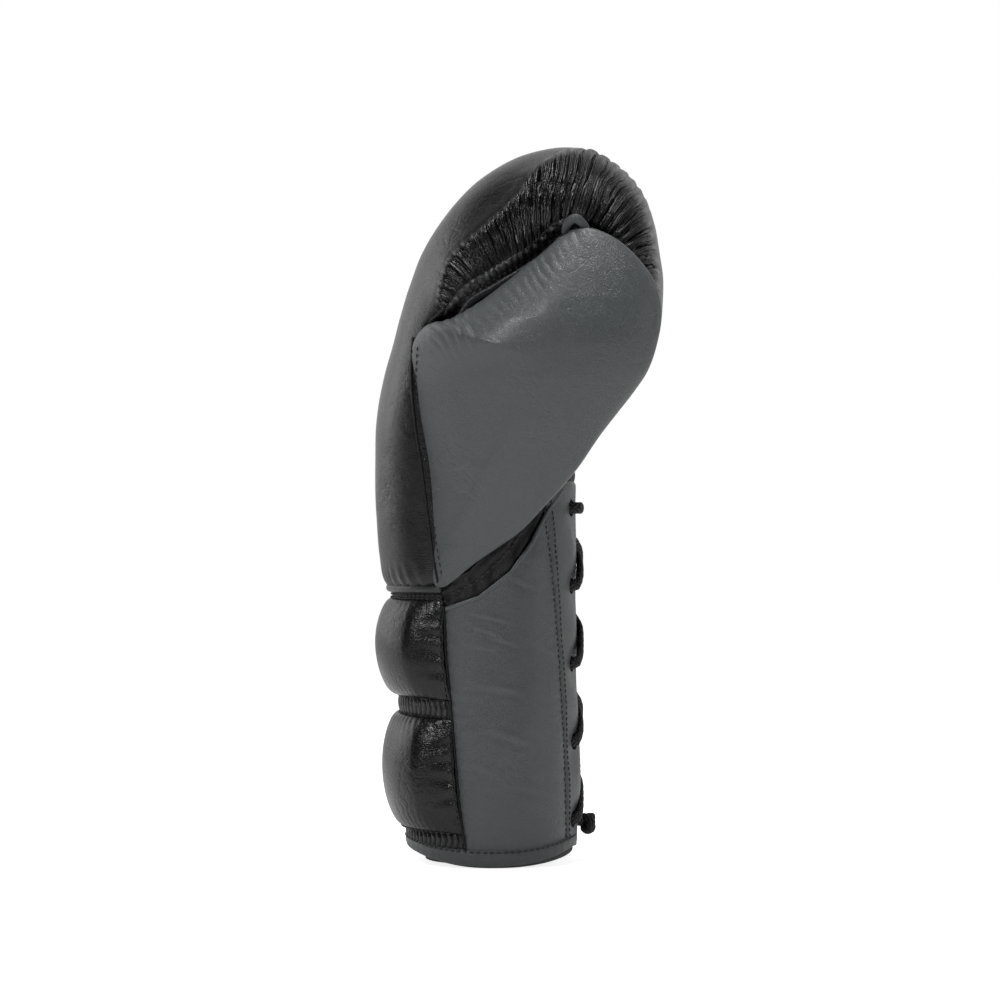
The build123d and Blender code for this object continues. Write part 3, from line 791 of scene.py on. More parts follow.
def with_cuff(piece):
    """Keeps a piece on the cuff."""
    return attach(piece, "cuff")


def with_mitt(piece):
    """Keeps a piece on the mitt."""
    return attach(piece, "hand")


def with_hand(piece):
    """Bakes a piece of the wrist seam in place, into its mesh."""
    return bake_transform(piece, "cuff", "hand", at(-22, 0, 117), at(-22, 0, 128))


def with_thumb(piece):
    """Bakes a piece of the thumb in place, into its mesh."""
    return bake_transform(piece, "hand", "thumb", at(-36, -50, 140), at(6, -50, 140))


def with_flap(piece):
    """Bakes a piece of the little-finger side in place, into its mesh."""
    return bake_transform(piece, "cuff", "lace_flap", at(20, 40, 172), at(20, 40, 60))


def with_side(side):
    """How a piece of the cuff's side is kept: on the cuff on the thumb's side, or baked in place
    on the other.
    """
    return with_cuff if side < 0 else with_flap


def with_slack(piece):
    """Bakes a piece of the lace in place, into its mesh."""
    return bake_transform(piece, "cuff", "lace_flap", at(39, HOLE_Y, 172), at(39, 49.8, 164))


# ---------------------------------------------------------------- sizes and colours
class GloveLooks(bpy.types.PropertyGroup):
    """Sizes and colours of the glove's leather, thread and lacing."""

    black_leather: bpy.props.FloatVectorProperty(
        name="Black leather", description="Colour of the fist and the wrist rolls",
        subtype="COLOR", size=3, min=0, max=1, default=(0.0045, 0.0045, 0.0050),
    )
    grey_leather: bpy.props.FloatVectorProperty(
        name="Grey leather", description="Colour of the thumb, the palm and the cuff",
        subtype="COLOR", size=3, min=0, max=1, default=(0.074, 0.081, 0.083),
    )
    trim: bpy.props.FloatVectorProperty(
        name="Trim", description="Colour of the gathered bands and the thumb tie",
        subtype="COLOR", size=3, min=0, max=1, default=(0.020, 0.0205, 0.022),
    )
    thread: bpy.props.FloatVectorProperty(
        name="Thread", description="Colour of the stitching",
        subtype="COLOR", size=3, min=0, max=1, default=(0.018, 0.018, 0.020),
    )
    lining: bpy.props.FloatVectorProperty(
        name="Lining", description="Colour of the cloth inside",
        subtype="COLOR", size=3, min=0, max=1, default=(0.020, 0.020, 0.022),
    )
    lace: bpy.props.FloatVectorProperty(
        name="Lace", description="Colour of the braided lace",
        subtype="COLOR", size=3, min=0, max=1, default=(0.012, 0.012, 0.013),
    )
    gather_pitch: bpy.props.FloatProperty(
        name="Gather pitch", description="Distance between the gathers round the fist",
        subtype="DISTANCE", min=0.003, max=0.02, default=0.0062,
    )
    gather_depth: bpy.props.FloatProperty(
        name="Gather depth", description="How deep the gathers round the fist are",
        subtype="DISTANCE", min=0.0, max=0.005, default=0.0030,
    )
    roll_swell: bpy.props.FloatProperty(
        name="Roll swell", description="How far the wrist rolls stand out of the cuff",
        subtype="DISTANCE", min=0.002, max=0.014, default=0.0102,
    )
    stitch_pitch: bpy.props.FloatProperty(
        name="Stitch pitch", description="Distance from stitch to stitch",
        subtype="DISTANCE", min=0.002, max=0.006, default=0.0032,
    )
    lace_thickness: bpy.props.FloatProperty(
        name="Lace thickness", description="Diameter of the braided lace",
        subtype="DISTANCE", min=0.003, max=0.007, default=0.0052,
    )
    camera_distance: bpy.props.FloatProperty(
        name="Camera distance", description="Distance of the camera from the middle of the glove",
        subtype="DISTANCE", min=0.5, max=4.0, default=1.9,
    )
    camera_lens: bpy.props.FloatProperty(
        name="Camera lens", description="Focal length of the camera",
        subtype="DISTANCE_CAMERA", min=35.0, max=200.0, default=150.3,
    )


# ---------------------------------------------------------------- the stage
class GLOVE_OT_stage(bpy.types.Operator):
    """Floor, soft studio light and the camera"""

    bl_idname = "glove.stage"
    bl_label = "Stage"

    def execute(self, context):
        looks = context.scene.glove_looks
        bpy.ops.object.select_all(action="DESELECT")
        bpy.ops.mesh.primitive_plane_add(size=12.0, location=(0, 0, 0))
        floor = context.object
        floor.name = "Floor"
        bpy.ops.object.mode_set(mode="EDIT")
        bpy.ops.mesh.subdivide(number_cuts=4)
        bpy.ops.object.mode_set(mode="OBJECT")
        floor.data.materials.append(plain_floor("Pale_floor", (0.93, 0.93, 0.93)))

        # Soft light from all round, brighter behind the glove than in front of it.
        context.scene.view_settings.view_transform = "Standard"
        world = bpy.data.worlds.new("Studio")
        world.use_nodes = True
        nodes, links = world.node_tree.nodes, world.node_tree.links
        room = nodes["Background"]
        way = nodes.new("ShaderNodeTexCoord")
        parts = nodes.new("ShaderNodeSeparateXYZ")
        links.new(way.outputs["Generated"], parts.inputs[0])
        depth = nodes.new("ShaderNodeMapRange")
        depth.inputs["From Min"].default_value = 0.0
        depth.inputs["From Max"].default_value = 0.75
        depth.inputs["To Min"].default_value = 0.015
        depth.inputs["To Max"].default_value = 0.65
        links.new(parts.outputs[1], depth.inputs["Value"])
        rays = nodes.new("ShaderNodeLightPath")
        seen = nodes.new("ShaderNodeMath")
        seen.operation = "MAXIMUM"
        links.new(rays.outputs["Is Camera Ray"], seen.inputs[0])
        links.new(depth.outputs[0], seen.inputs[1])
        links.new(seen.outputs[0], room.inputs[1])
        room.inputs[0].default_value = (1.0, 1.0, 1.0, 1.0)
        context.scene.world = world

        for name, place, aim, wide, power in (
            ("Key", (-0.7, -1.3, 1.25), (0.0, 0.0, 0.2), 0.34, 13.0),
            ("Top", (0.1, -0.1, 1.4), (0.0, 0.0, 0.25), 0.4, 9.0),
            ("Back_left", (-1.3, 0.8, 0.6), (0.0, 0.0, 0.2), 0.9, 3.5),
            ("Palm_side", (1.2, -0.3, 0.45), (0.0, 0.0, 0.17), 0.7, 2.0),
        ):
            bpy.ops.object.light_add(type="AREA", location=place)
            light = context.object
            light.name = name
            light.data.shape = "SQUARE"
            light.data.size = wide
            light.data.energy = power
            way = Vector(aim) - Vector(place)
            light.rotation_euler = way.to_track_quat("-Z", "Y").to_euler()

        far = looks.camera_distance
        bpy.ops.object.camera_add(location=(0.0032, -far, 0.1636))
        camera = context.object
        camera.name = "View"
        camera.rotation_euler = (math.radians(90.0), 0.0, 0.0)
        camera.data.lens = looks.camera_lens
        camera.data.sensor_width = 36.0
        camera.data.clip_end = 50.0
        context.scene.camera = camera
        return {"FINISHED"}


# ---------------------------------------------------------------- the mitt
def gathers(grid, run, reach, seed, pitch, depth):
    """How far the gathers round the fist lift the black leather."""
    inner = side_distance(grid, GATHER_LINE)
    tie = np.abs(side_distance(grid, TIE_LINE))
    mask = ease(0.0, 4.5, inner) * ease(118, 150, run) * ease(0.10, 0.34, reach)
    front = ease(250, 300, run)
    mask = mask * (1 - front * ease(0.86, 0.97, reach))
    sway = unevenness(grid, 26, seed) * 0.42 + unevenness(grid, 60, seed + 1) * 0.5
    wave = run / pitch + sway
    broad = np.abs(np.sin(np.pi * wave)) ** 0.62
    fine = np.abs(np.sin(np.pi * (wave * 2.07 + 0.3 + sway))) ** 0.8
    strength = 0.72 + 0.5 * unevenness(grid, 18, seed + 2)
    lift = depth * mask * strength * (broad - 0.62 + 0.28 * (fine - 0.6))
    # A smooth ridge runs along the edge of the back panel.
    ridge = np.exp(-np.where(inner < 2, (inner - 2) / 5.0, (inner - 2) / 2.2) ** 2)
    ridge *= ease(118, 150, run) * ease(0.1, 0.3, reach) * (1 - ease(0.8, 0.95, reach))
    lift += 1.9 * ridge
    lift -= 1.7 * np.exp(-((tie / 4.0) ** 2)) * ease(0.1, 0.3, reach)
    return lift, mask


class GLOVE_OT_mitt(bpy.types.Operator):
    """Black padded back and grey padded palm of the mitt"""

    bl_idname = "glove.mitt"
    bl_label = "Mitt"

    def execute(self, context):
        looks = context.scene.glove_looks
        middle = (0, 0, 225)
        grid, run, reach = mitt_rows(MITT_BACK, 430, 141)
        grid = seat_for_thumb(grid)
        normal = grid_normals(grid, middle)
        lift, mask = gathers(grid, run, reach, 5, looks.gather_pitch / MM, looks.gather_depth / MM)
        lift += 0.55 * unevenness(grid, 34, 11) + 0.16 * unevenness(grid, 11, 12)
        pucker = ease(15, 0, run) * ease(0.05, 0.3, reach)
        lift += 0.4 * pucker * np.sin(2 * np.pi * grid[..., 1] / 5.2 + 2 * unevenness(grid, 9, 13))
        lift -= 1.2 * np.exp(-((run / 3.0) ** 2))
        grid = grid + normal * lift[..., None]
        back = skin("Mitt_back_leather", grid, middle, thick=1.8, marks={"Gather": mask})
        dress(back, "black_gathered")
        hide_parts("back_cover", "back_foam")
        with_mitt(back)

        grid, run, reach = mitt_rows(MITT_PALM, 300, 141)
        grid = trimmed(grid, MITT_LOW, 130)
        grid = seat_for_thumb(grid)
        normal = grid_normals(grid, (0, 0, 180))
        share = np.linspace(0, 1, 130)[:, None]
        lift = 0.6 * unevenness(grid, 30, 21) + 0.18 * unevenness(grid, 10, 22)
        lift -= 1.4 * np.exp(-((share / 0.03) ** 2)) * ease(0.3, 0.8, reach[:130] * 0 + reach[0])
        lift += 0.35 * ease(0.85, 1.0, share) * np.sin(grid[..., 1] * 1.15)
        grid = grid + normal * lift[..., None]
        palm = skin("Mitt_palm_leather", grid, (0, 0, 180), thick=1.8)
        dress(palm, "grey")
        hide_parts("palm_cover", "palm_foam")
        with_mitt(palm)
        return {"FINISHED"}


# ---------------------------------------------------------------- the thumb
class GLOVE_OT_thumb(bpy.types.Operator):
    """Grey padded thumb, its tie to the mitt and the folded tab"""

    bl_idname = "glove.thumb"
    bl_label = "Thumb"

    def execute(self, context):
        rim = smooth_path(THUMB_RIM, 420, closed=True)
        centre_x, centre_z = THUMB_MIDDLE
        heights, outs = np.array(THUMB_OUT).T

        def side(shares, outer):
            x = centre_x + shares[:, None] * (rim[:, 0] - centre_x)
            z = centre_z + shares[:, None] * (rim[:, 2] - centre_z)
            if outer:
                peak = np.interp(z, heights, outs)
                fall = (1 - np.clip(shares[:, None], 0, 1) ** 2.3) ** rim[:, 3]
            else:
                peak = np.full_like(z, -50.3)
                hard = np.clip((rim[:, 3] - 0.5) / 0.5, 0, 1)
                fall = (1 - np.clip(shares[:, None], 0, 1) ** (8.3 - 6 * hard)) ** rim[:, 3]
            return np.stack([x, rim[:, 1] + (peak - rim[:, 1]) * fall, z], -1)

        outer = side(np.sin(np.linspace(0, np.pi / 2, 96)), True)
        inner = side(np.sin(np.linspace(np.pi / 2, 0, 40))[1:], False)
        normal = grid_normals(outer, (10, -58, 215), wrap=True)
        tie = np.abs(side_distance(outer, TIE_LINE))
        along = outer[..., 0] * 0.80 + outer[..., 2] * 0.60
        patch = 0.55 + 0.6 * unevenness(outer, 13, 33)
        crease = np.abs(np.sin(np.pi * along / 4.4 + 2.4 * unevenness(outer, 12, 31))) ** 0.7 - 0.6
        shares = np.sin(np.linspace(0, np.pi / 2, 96))[:, None]
        inside = ease(1.0, 0.985, shares)
        lift = 1.4 * patch * inside * np.exp(-((tie / 13.0) ** 2)) * crease
        lift += inside * (0.5 * unevenness(outer, 42, 35) + 0.10 * unevenness(outer, 12, 36))
        outer = outer + normal * lift[..., None]
        outer[0] = outer[1].mean(0)
        thumb = skin("Thumb_leather", np.vstack([outer, inner]), (12, -60, 215), wrap=True)
        merge_doubles(thumb, 2e-6)
        dress(thumb, "grey")
        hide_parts("thumb_cover", "thumb_foam")
        with_thumb(thumb)

        # The tie: a stitched strip from the thumb's top edge on to the gathers.
        line = as_path(TIE_LINE, 120)
        tangent, _, out = frames_along(line, (0, -1, 0))
        up = np.cross(tangent, out)
        up = up * np.sign(up[:, 2:3])
        back = bpy.data.objects["Mitt_back_leather"]
        rows = []
        for step, lift in ((4.0, -0.9), (3.4, 0.2), (1.8, 0.9), (0.0, 0.9), (-1.6, 0.8)):
            spots, _ = laid_on([back], line + up * step + np.array([0, -80, 0]), (0, 1, 0), lift)
            rows.append(spots[:120])
        for step, out in ((-3.4, -58.5), (-6.5, -57.0)):
            low = line + up * step
            low[:, 1] = out
            rows.append(low)
        count = min(len(row) for row in rows)
        grid = np.stack([row[:count] for row in rows], 1)
        fine = np.stack([smooth_path(row, 16) for row in grid])
        ripple = 0.18 * np.sin(2 * np.pi * np.arange(count) / 4.0)[:, None]
        fine[..., 1] -= ripple * np.sin(np.linspace(0, np.pi, 16))[None, :]
        tie = skin("Thumb_tie_strip", fine, (10, -20, 262), thick=1.0)
        dress(tie, "trim")
        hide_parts("thumb_tie")
        with_mitt(tie)
        seam = [(fine[:, 6], (0, -1, 0.2), 3.4)]
        sewn("Thumb_tie_stitching", seam, with_mitt, length=2.0)
        loop = [
            (31.5, -58, 281), (33.5, -61, 286), (36.5, -62.5, 287.5), (39.5, -62, 285.5),
            (42, -60.5, 282),
        ]
        path = smooth_path(loop, 40)
        wide = 2.1 * np.sin(np.linspace(0.35, np.pi - 0.35, 40)) ** 0.4
        tab = cord_skin("Thumb_tab", path, wide, (0, -1, 0), sides=14, flat=0.5)
        dress(tab, "grey_trim")
        with_mitt(tab)
        return {"FINISHED"}


# ---------------------------------------------------------------- the back of the cuff
def slope(low):
    """Height of a seam of the back, which drops towards the palm."""
    return lambda x: low - x * SEAM_DROP


def level(z):
    """The height of an edge that doesn't slope."""
    return lambda x: z + 0 * x


def back_grid(low, high, rows, cols, out):
    """A grid round the back of the cuff, from side seam to side seam."""
    def start(z):
        return turn_at_x(z, side_seam(z))

    return cuff_grid(low, high, start, lambda z: 2 * np.pi - start(z), rows, cols, 1.0, out)


class GLOVE_OT_wrist_rolls(bpy.types.Operator):
    """Two padded rolls on the back of the wrist, with the gathered bands between them"""

    bl_idname = "glove.wrist_rolls"
    bl_label = "Wrist rolls"

    def execute(self, context):
        swell = context.scene.glove_looks.roll_swell / MM
        middle = (-20, 0, 60)
        for name, low, high, seed in (
            ("Lower_roll", slope(14.6), slope(65.6), 41),
            ("Upper_roll", slope(73.6), level(119.5), 51),
        ):

            def out(share, even, place, seed=seed):
                edge = np.minimum(share, 1 - share) * 50.0
                side = np.minimum(even, 1 - even) * ROUND_BACK
                puff = np.sin(np.pi * share**0.88) ** 0.52
                reach = 1.0 + (swell - 1.0) * puff * (0.25 + 0.75 * ease(0, 26, side))
                wave = even * ROUND_BACK / 5.6
                gather = np.sin(2 * np.pi * wave + 5.0 * unevenness(place, 11, seed))
                gather *= np.exp(-edge / 5.0) * ease(0, 2, edge)
                reach += 0.28 * gather * (0.6 + 0.6 * unevenness(place, 14, seed + 1))
                reach += 0.55 * unevenness(place * (1, 1, 0.55), 15, seed + 2) * puff
                wave = place[..., 2] / 8.0
                pull = np.sin(2 * np.pi * wave + 3 * unevenness(place, 14, seed + 3))
                reach += 0.45 * pull * np.exp(-side / 8.0) * ease(0, 2.5, side) * puff
                return reach

            grid = back_grid(low, high, 110, 300, out)
            roll = skin(name + "_leather", grid, middle, thick=1.6)
            dress(roll, "black")
            stem = name.lower()
            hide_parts(stem + "_cover", stem + "_foam")
            with_cuff(roll)

        for name, node, low, high, seed in (
            ("Roll_band", "cuff_band", slope(64.4), slope(74.8), 61),
            ("Hem_band_gathered", "hem_band", level(8.0), slope(16.2), 66),
        ):

            def out(share, even, place, seed=seed):
                wave = even * ROUND_BACK / 4.6 + 0.9 * np.abs(share - 0.5)
                ruffle = np.abs(np.sin(np.pi * (wave + 0.3 * unevenness(place, 9, seed)))) ** 0.7
                edges = np.abs(2 * share - 1) ** 4
                return -0.3 + 1.5 * ruffle * np.sin(np.pi * share) ** 0.5 - 0.6 * edges

            band = skin(name, back_grid(low, high, 22, 620, out), middle, thick=1.0)
            dress(band, "trim")
            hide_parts(node)
            with_cuff(band)
        return {"FINISHED"}


# ---------------------------------------------------------------- the side panels
def fold(place, start, stop, wide, deep):
    """A soft crease in the side view from one (x, z) to another."""
    a, b = np.array(start, float), np.array(stop, float)
    flat = place[..., [0, 2]]
    share = np.clip(((flat - a) @ (b - a)) / ((b - a) @ (b - a)), 0, 1)
    gap = flat - (a + share[..., None] * (b - a))
    far = np.hypot(gap[..., 0], gap[..., 1]) * np.sign(gap[..., 1] + 1e-9)
    ends = np.sin(np.pi * np.clip(share * 0.9 + 0.05, 0, 1)) ** 0.5
    return deep * ends * (0.8 * np.exp(-((far - wide) / wide) ** 2) - np.exp(-((far / wide) ** 2)))


# Creases of the side panels: from, to, half width and depth.
PANEL_FOLDS = [
    ((-14, 113.5), (5, 109), 1.1, 0.7), ((-9, 106.5), (2, 103), 1.0, 0.5),
    ((-4, 103), (9, 98.5), 1.2, 0.4), ((-14, 99), (0, 96), 1.4, 0.35),
    ((-10, 80), (10, 77), 2.0, 0.4), ((-2, 60), (14, 54), 2.2, 0.4),
    ((8, 128), (20, 122), 1.6, 0.5), ((-14, 47), (-2, 42), 1.8, 0.35),
    ((16, 100), (27, 92), 2.0, 0.35), ((10, 36), (24, 31), 2.0, 0.3),
]


class GLOVE_OT_cuff_panels(bpy.types.Operator):
    """Grey padded side panels of the cuff"""

    bl_idname = "glove.cuff_panels"
    bl_label = "Cuff panels"

    def execute(self, context):
        for name, node, side, seed in (
            ("Thumb_side_panel", "thumb_side_cuff", -1.0, 71),
            ("Little_side_panel", "little_side_cuff", 1.0, 81),
        ):

            def out(share, even, place, seed=seed):
                puff = np.sin(np.pi * even) ** 0.45 * np.sin(np.pi * share) ** 0.35
                reach = -0.4 + 2.0 * puff + 0.5 * unevenness(place, 26, seed) * puff
                reach += 0.14 * unevenness(place, 8, seed + 1) * puff
                for start, stop, wide, deep in PANEL_FOLDS:
                    reach += fold(place, start, stop, wide, deep) * puff
                edge = np.minimum(even, 1 - even) * 60.0
                pull = np.sin(place[..., 2] * 1.25 + 2 * unevenness(place, 9, seed))
                reach += 0.22 * np.exp(-edge / 4.0) * pull
                reach += 0.9 * np.exp(-(((1 - share) * 110 / 1.6) ** 2))
                return reach

            grid = cuff_grid(
                level(7.0), lambda x: heights_of(CUFF_TOP, x),
                lambda z: turn_at_y(z, facing_seam(z) - 0.6),
                lambda z: turn_at_x(z, side_seam(z) - 0.6), 230, 130, side, out,
            )
            panel = skin(name, grid, (0, 0, 80), thick=1.8)
            dress(panel, "grey")
            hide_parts(node + "_panel", node + "_foam")
            with_side(side)(panel)
        return {"FINISHED"}


# ---------------------------------------------------------------- the lacing
def lace_half(side, crossing):
    """Points of one half of the lace, from the top bar down to the knot."""
    points = [(LACE_EDGE, side * 9.0, LACE_HOLES[0])]
    drop = LACE_PITCH / (2 * HOLE_Y)
    for height in LACE_HOLES[:-1]:
        middle = height - LACE_PITCH / 2
        points.append((LACE_OVER, side * HOLE_Y, height))
        points.append((LACE_UNDER, side * HOLE_Y, height))
        points.append((LACE_UNDER + 0.4, side * 8.5, middle + 8.5 * drop))
        points.append((crossing, 0.0, middle))
        points.append((LACE_EDGE, -side * 8.0, middle - 8.0 * drop))
        side = -side
    points.append((LACE_OVER, side * HOLE_Y, LACE_HOLES[-1]))
    points.append((LACE_UNDER, side * HOLE_Y, LACE_HOLES[-1]))
    points.append((LACE_UNDER + 0.4, side * 8.0, 19.0))
    points.append((LACE_FACE + 1.1, side * 4.5, 18.2))
    return points


def smooth_cord(points, name):
    """Points read from the smooth spline of a cord's route, in mm."""
    curve = bpy.data.curves.new(name, "CURVE")
    curve.dimensions = "3D"
    curve.resolution_u = 10
    spline = curve.splines.new("NURBS")
    spline.points.add(len(points) - 1)
    for spot, point in zip(spline.points, points):
        spot.co = (point[0] * MM, point[1] * MM, point[2] * MM, 1.0)
    spline.order_u = 3
    spline.use_endpoint_u = True
    route = bpy.data.objects.new(name, curve)
    bpy.context.scene.collection.objects.link(route)
    line = bpy.data.meshes.new_from_object(route)
    path = np.array([v.co for v in line.vertices]) / MM
    bpy.data.objects.remove(route)
    return path


def travelling_tube(name, path, radius, sides, weave=0.0, pitch=4.0, flat=0.0):
    """A closed tube that follows a winding line without twisting, with raised braid strands."""
    step = 0.55
    path = smooth_path(path, int(np.linalg.norm(np.diff(path, axis=0), axis=1).sum() / step))
    tangent = np.gradient(path, axis=0)
    tangent /= np.linalg.norm(tangent, axis=1, keepdims=True)
    side = np.zeros_like(path)
    now = np.cross(tangent[0], (0.3, 0.2, 1.0))
    for k, t in enumerate(tangent):
        now = now - (now @ t) * t
        now = now / np.linalg.norm(now)
        side[k] = now
    other = np.cross(tangent, side)
    turn = np.linspace(0, 2 * np.pi, sides, endpoint=False)
    run = np.arange(len(path)) * step
    phase = 2 * np.pi * run[:, None] / pitch
    strands = np.maximum(np.cos(4 * turn[None, :] + phase), np.cos(4 * turn[None, :] - phase))
    size = np.asarray(radius) * (1 + weave * (strands - 0.6))
    if np.ndim(size) == 2:
        size = size[..., None]
    round_it = turn[None, :, None]
    ring = np.cos(round_it) * side[:, None] + np.sin(round_it) * other[:, None]
    # A cord that lies across the strips is pressed a little flat.
    press = 1 - flat * (1 - ease(0.35, 0.8, np.abs(tangent[:, 0])))
    ring = ring * np.stack([press, 0 * press + 1, 0 * press + 1], 1)[:, None]
    grid = path[:, None] + size * ring
    return close_ends(skin(name, grid, path.mean(0), wrap=True))


class GLOVE_OT_lacing(bpy.types.Operator):
    """Laced strips with their holes, the tongue, the crossed lace and its knot"""

    bl_idname = "glove.lacing"
    bl_label = "Lacing"

    def execute(self, context):
        thick = context.scene.glove_looks.lace_thickness / MM
        for name, node, side, seed in (
            ("Thumb_side_facing", "thumb_side_lace_facing", -1.0, 91),
            ("Little_side_facing", "little_side_lace_facing", 1.0, 95),
        ):
            rows, cols = 260, 70
            z = np.linspace(8.0, 172.0, rows)[:, None] + np.zeros((1, cols))
            share = np.linspace(0, 1, cols)[None, :] + 0 * z
            y = SLIT_HALF + (facing_seam(z) + 0.9 - SLIT_HALF) * share
            middle, deep, half = cuff_at(z)
            near = np.cos(2 * np.pi * (z - 20.0) / LACE_PITCH)
            out = 0.9 - 0.5 * near * np.exp(-(((y - HOLE_Y) / 7) ** 2))
            out += 1.9 * np.exp(-(((z - 42) / 24) ** 2)) * np.exp(-(((y - 14) / 9) ** 2))
            out -= 1.1 * np.exp(-(((y - SLIT_HALF) / 0.8) ** 2))
            out -= 1.3 * ease(0.93, 1.0, share) + 0.8 * np.exp(-(((172 - z) / 1.0) ** 2))
            place = np.stack([0 * z, y, z], -1)
            out += 0.3 * unevenness(place, 17, seed) + 0.1 * unevenness(place, 6, seed + 1)
            x = middle + (deep + out) * (1 - (y / (half + out)) ** SQUARE) ** (1 / SQUARE)
            facing = skin(name, np.stack([x, side * y, z], -1), (0, 0, 90), thick=2.4)
            dress(facing, "grey")
            cutters = []
            for height in LACE_HOLES:
                pick(facing)
                bpy.ops.mesh.primitive_cylinder_add(
                    vertices=28, radius=HOLE_RADIUS * MM, depth=0.03,
                    location=at(36, side * HOLE_Y, height), rotation=(0, math.radians(90), 0),
                )
                cutters.append(context.object)
            pick(*cutters)
            bpy.ops.object.join()
            cutter = context.object
            pick(facing)
            holes = facing.modifiers.new("Holes", "BOOLEAN")
            holes.operation = "DIFFERENCE"
            holes.solver = "EXACT"
            holes.object = cutter
            bpy.ops.object.modifier_apply(modifier="Holes")
            bpy.data.objects.remove(cutter)
            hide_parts(node)
            with_side(side)(facing)

        # The tongue lies under the slit.
        rows, cols = 150, 60
        z = np.linspace(9.5, 171.0, rows)[:, None] + np.zeros((1, cols))
        y = np.linspace(-26.5, 26.5, cols)[None, :] + 0 * z
        middle, deep, half = cuff_at(z)
        out = -9.6 + 0.6 * np.sin(np.pi * (z - 9) / 27.0) ** 2 * np.cos(np.pi * y / 54)
        place = np.stack([0 * z, y, z], -1)
        out += 0.35 * unevenness(place, 22, 97)
        x = middle + (deep + out) * (1 - np.abs(y / (half + out)) ** SQUARE) ** (1 / SQUARE)
        tongue = skin("Lace_tongue_leather", np.stack([x, y, z], -1), (0, 0, 90), thick=2.6)
        dress(tongue, "black_soft")
        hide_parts("lace_tongue")
        with_cuff(tongue)

        route = [*reversed(lace_half(-1, LACE_CROSS[0])), *lace_half(1, LACE_CROSS[1])]
        path = smooth_cord(route, "Lace_route")
        lace = travelling_tube("Lace_braided", path, thick / 2, 20, weave=0.07, flat=0.42)
        dress(lace, "lace")
        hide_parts("lace")
        with_slack(lace)

        turn = np.linspace(0, 2 * np.pi, 130)
        loop = np.stack(
            [
                -np.sin(3 * turn) * 1.6, (np.sin(turn) + 2 * np.sin(2 * turn)) * 1.15,
                (np.cos(turn) - 2 * np.cos(2 * turn)) * 1.15,
            ],
            1,
        ) + (43.2, 0.0, 17.0)
        knot = travelling_tube("Lace_knot_tied", loop, 2.0, 14, weave=0.08)
        ends = []
        for side in (-1, 1):
            way = [(43.0, side * 2.0, 17), (43.6, side * 4.2, 15.4), (43.0, side * 5.6, 13.0)]
            name = "Lace_end_a" if side < 0 else "Lace_end_b"
            ends.append(travelling_tube(name, smooth_path(way, 16), 1.9, 12, weave=0.06))
        for piece in (knot, *ends):
            dress(piece, "lace")
            with_slack(piece)
        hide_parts("lace_knot")
        return {"FINISHED"}


# ---------------------------------------------------------------- the wrist seam
class GLOVE_OT_wrist_seam(bpy.types.Operator):
    """Grey piping on its black strip, and the folded gussets between the cuff and the mitt"""

    bl_idname = "glove.wrist_seam"
    bl_label = "Wrist seam"

    def execute(self, context):
        def start(z):
            return turn_at_x(z, -22.0)

        def out(share, even, place):
            gather = np.sin(2 * np.pi * even * ROUND_BACK / 4.6) * (1 - share)
            return 0.2 + 0.9 * np.sin(np.pi * share) + 0.25 * gather

        grid = cuff_grid(
            level(116.6), level(126.6), start, lambda z: 2 * np.pi - start(z), 18, 400, 1.0, out,
        )
        strip = skin("Wrist_strip", grid, (-20, 0, 121), thick=1.6)
        dress(strip, "black_soft")
        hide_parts("wrist_piping")
        with_hand(strip)
        turn = np.linspace(start(124.0), 2 * np.pi - start(124.0), 260)
        path = cuff_point(123.9 + 0 * turn, turn, 1.9)
        outward = away_from_middle(path, 124.0)
        piping = cord_skin("Wrist_piping_cord", path, 1.9, outward, sides=14)
        dress(piping, "trim")
        with_hand(piping)

        # Gussets: one folded strip, cut into a thumb side, a heel and a little-finger side.
        def folds(share, even, place):
            deep = 0.6 * np.sin(2 * np.pi * (share * 1.6 + 0.1))
            deep += 0.7 * unevenness(place * (1, 1, 1.6), 8, 101)
            pleat = 0.5 * np.sin(2 * np.pi * even * 190 / 9.0 + 3 * unevenness(place, 12, 103))
            return -0.9 + 2.4 * share + (deep + pleat) * np.sin(np.pi * share)

        grid = cuff_grid(
            lambda x: heights_of(CUFF_TOP, x) - 1.2, lambda x: heights_of(MITT_LOW, x) + 1.5,
            lambda z: -turn_at_x(z, -22.3), lambda z: turn_at_x(z, -22.3), 40, 460, 1.0, folds,
        )
        y = grid[20, :, 1]
        for name, node, columns in (
            ("Thumb_side_gusset_leather", "thumb_side_gusset", y < -25.5),
            ("Heel_gusset_leather", "heel_gusset", np.abs(y) < 26.5),
            ("Little_side_gusset_leather", "little_side_gusset", y > 25.5),
        ):
            front = columns & (grid[20, :, 0] > (0 if node == "heel_gusset" else -60))
            gusset = skin(name, grid[:, front], (0, 0, 150), thick=1.6)
            dress(gusset, "black_soft")
            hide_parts(node)
            with_gusset(gusset)
        return {"FINISHED"}


def with_gusset(piece):
    """Bakes a gusset in place, into its mesh."""
    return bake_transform(piece, "cuff", "hand", at(9, 0, 133), at(2, 0, 143))


# ---------------------------------------------------------------- the hem
def hem_lift(turn, palm=6.4):
    """The hem rises a little at the back and at the palm."""
    c = np.cos(turn)
    return np.where(c > 0, palm, 5.2) * c * c


def hem_turns():
    """Turns at which the flap's binding begins and the slit lies."""
    return float(turn_at_x(5.0, HEM_SPLIT)), float(turn_at_y(5.0, SLIT_HALF))


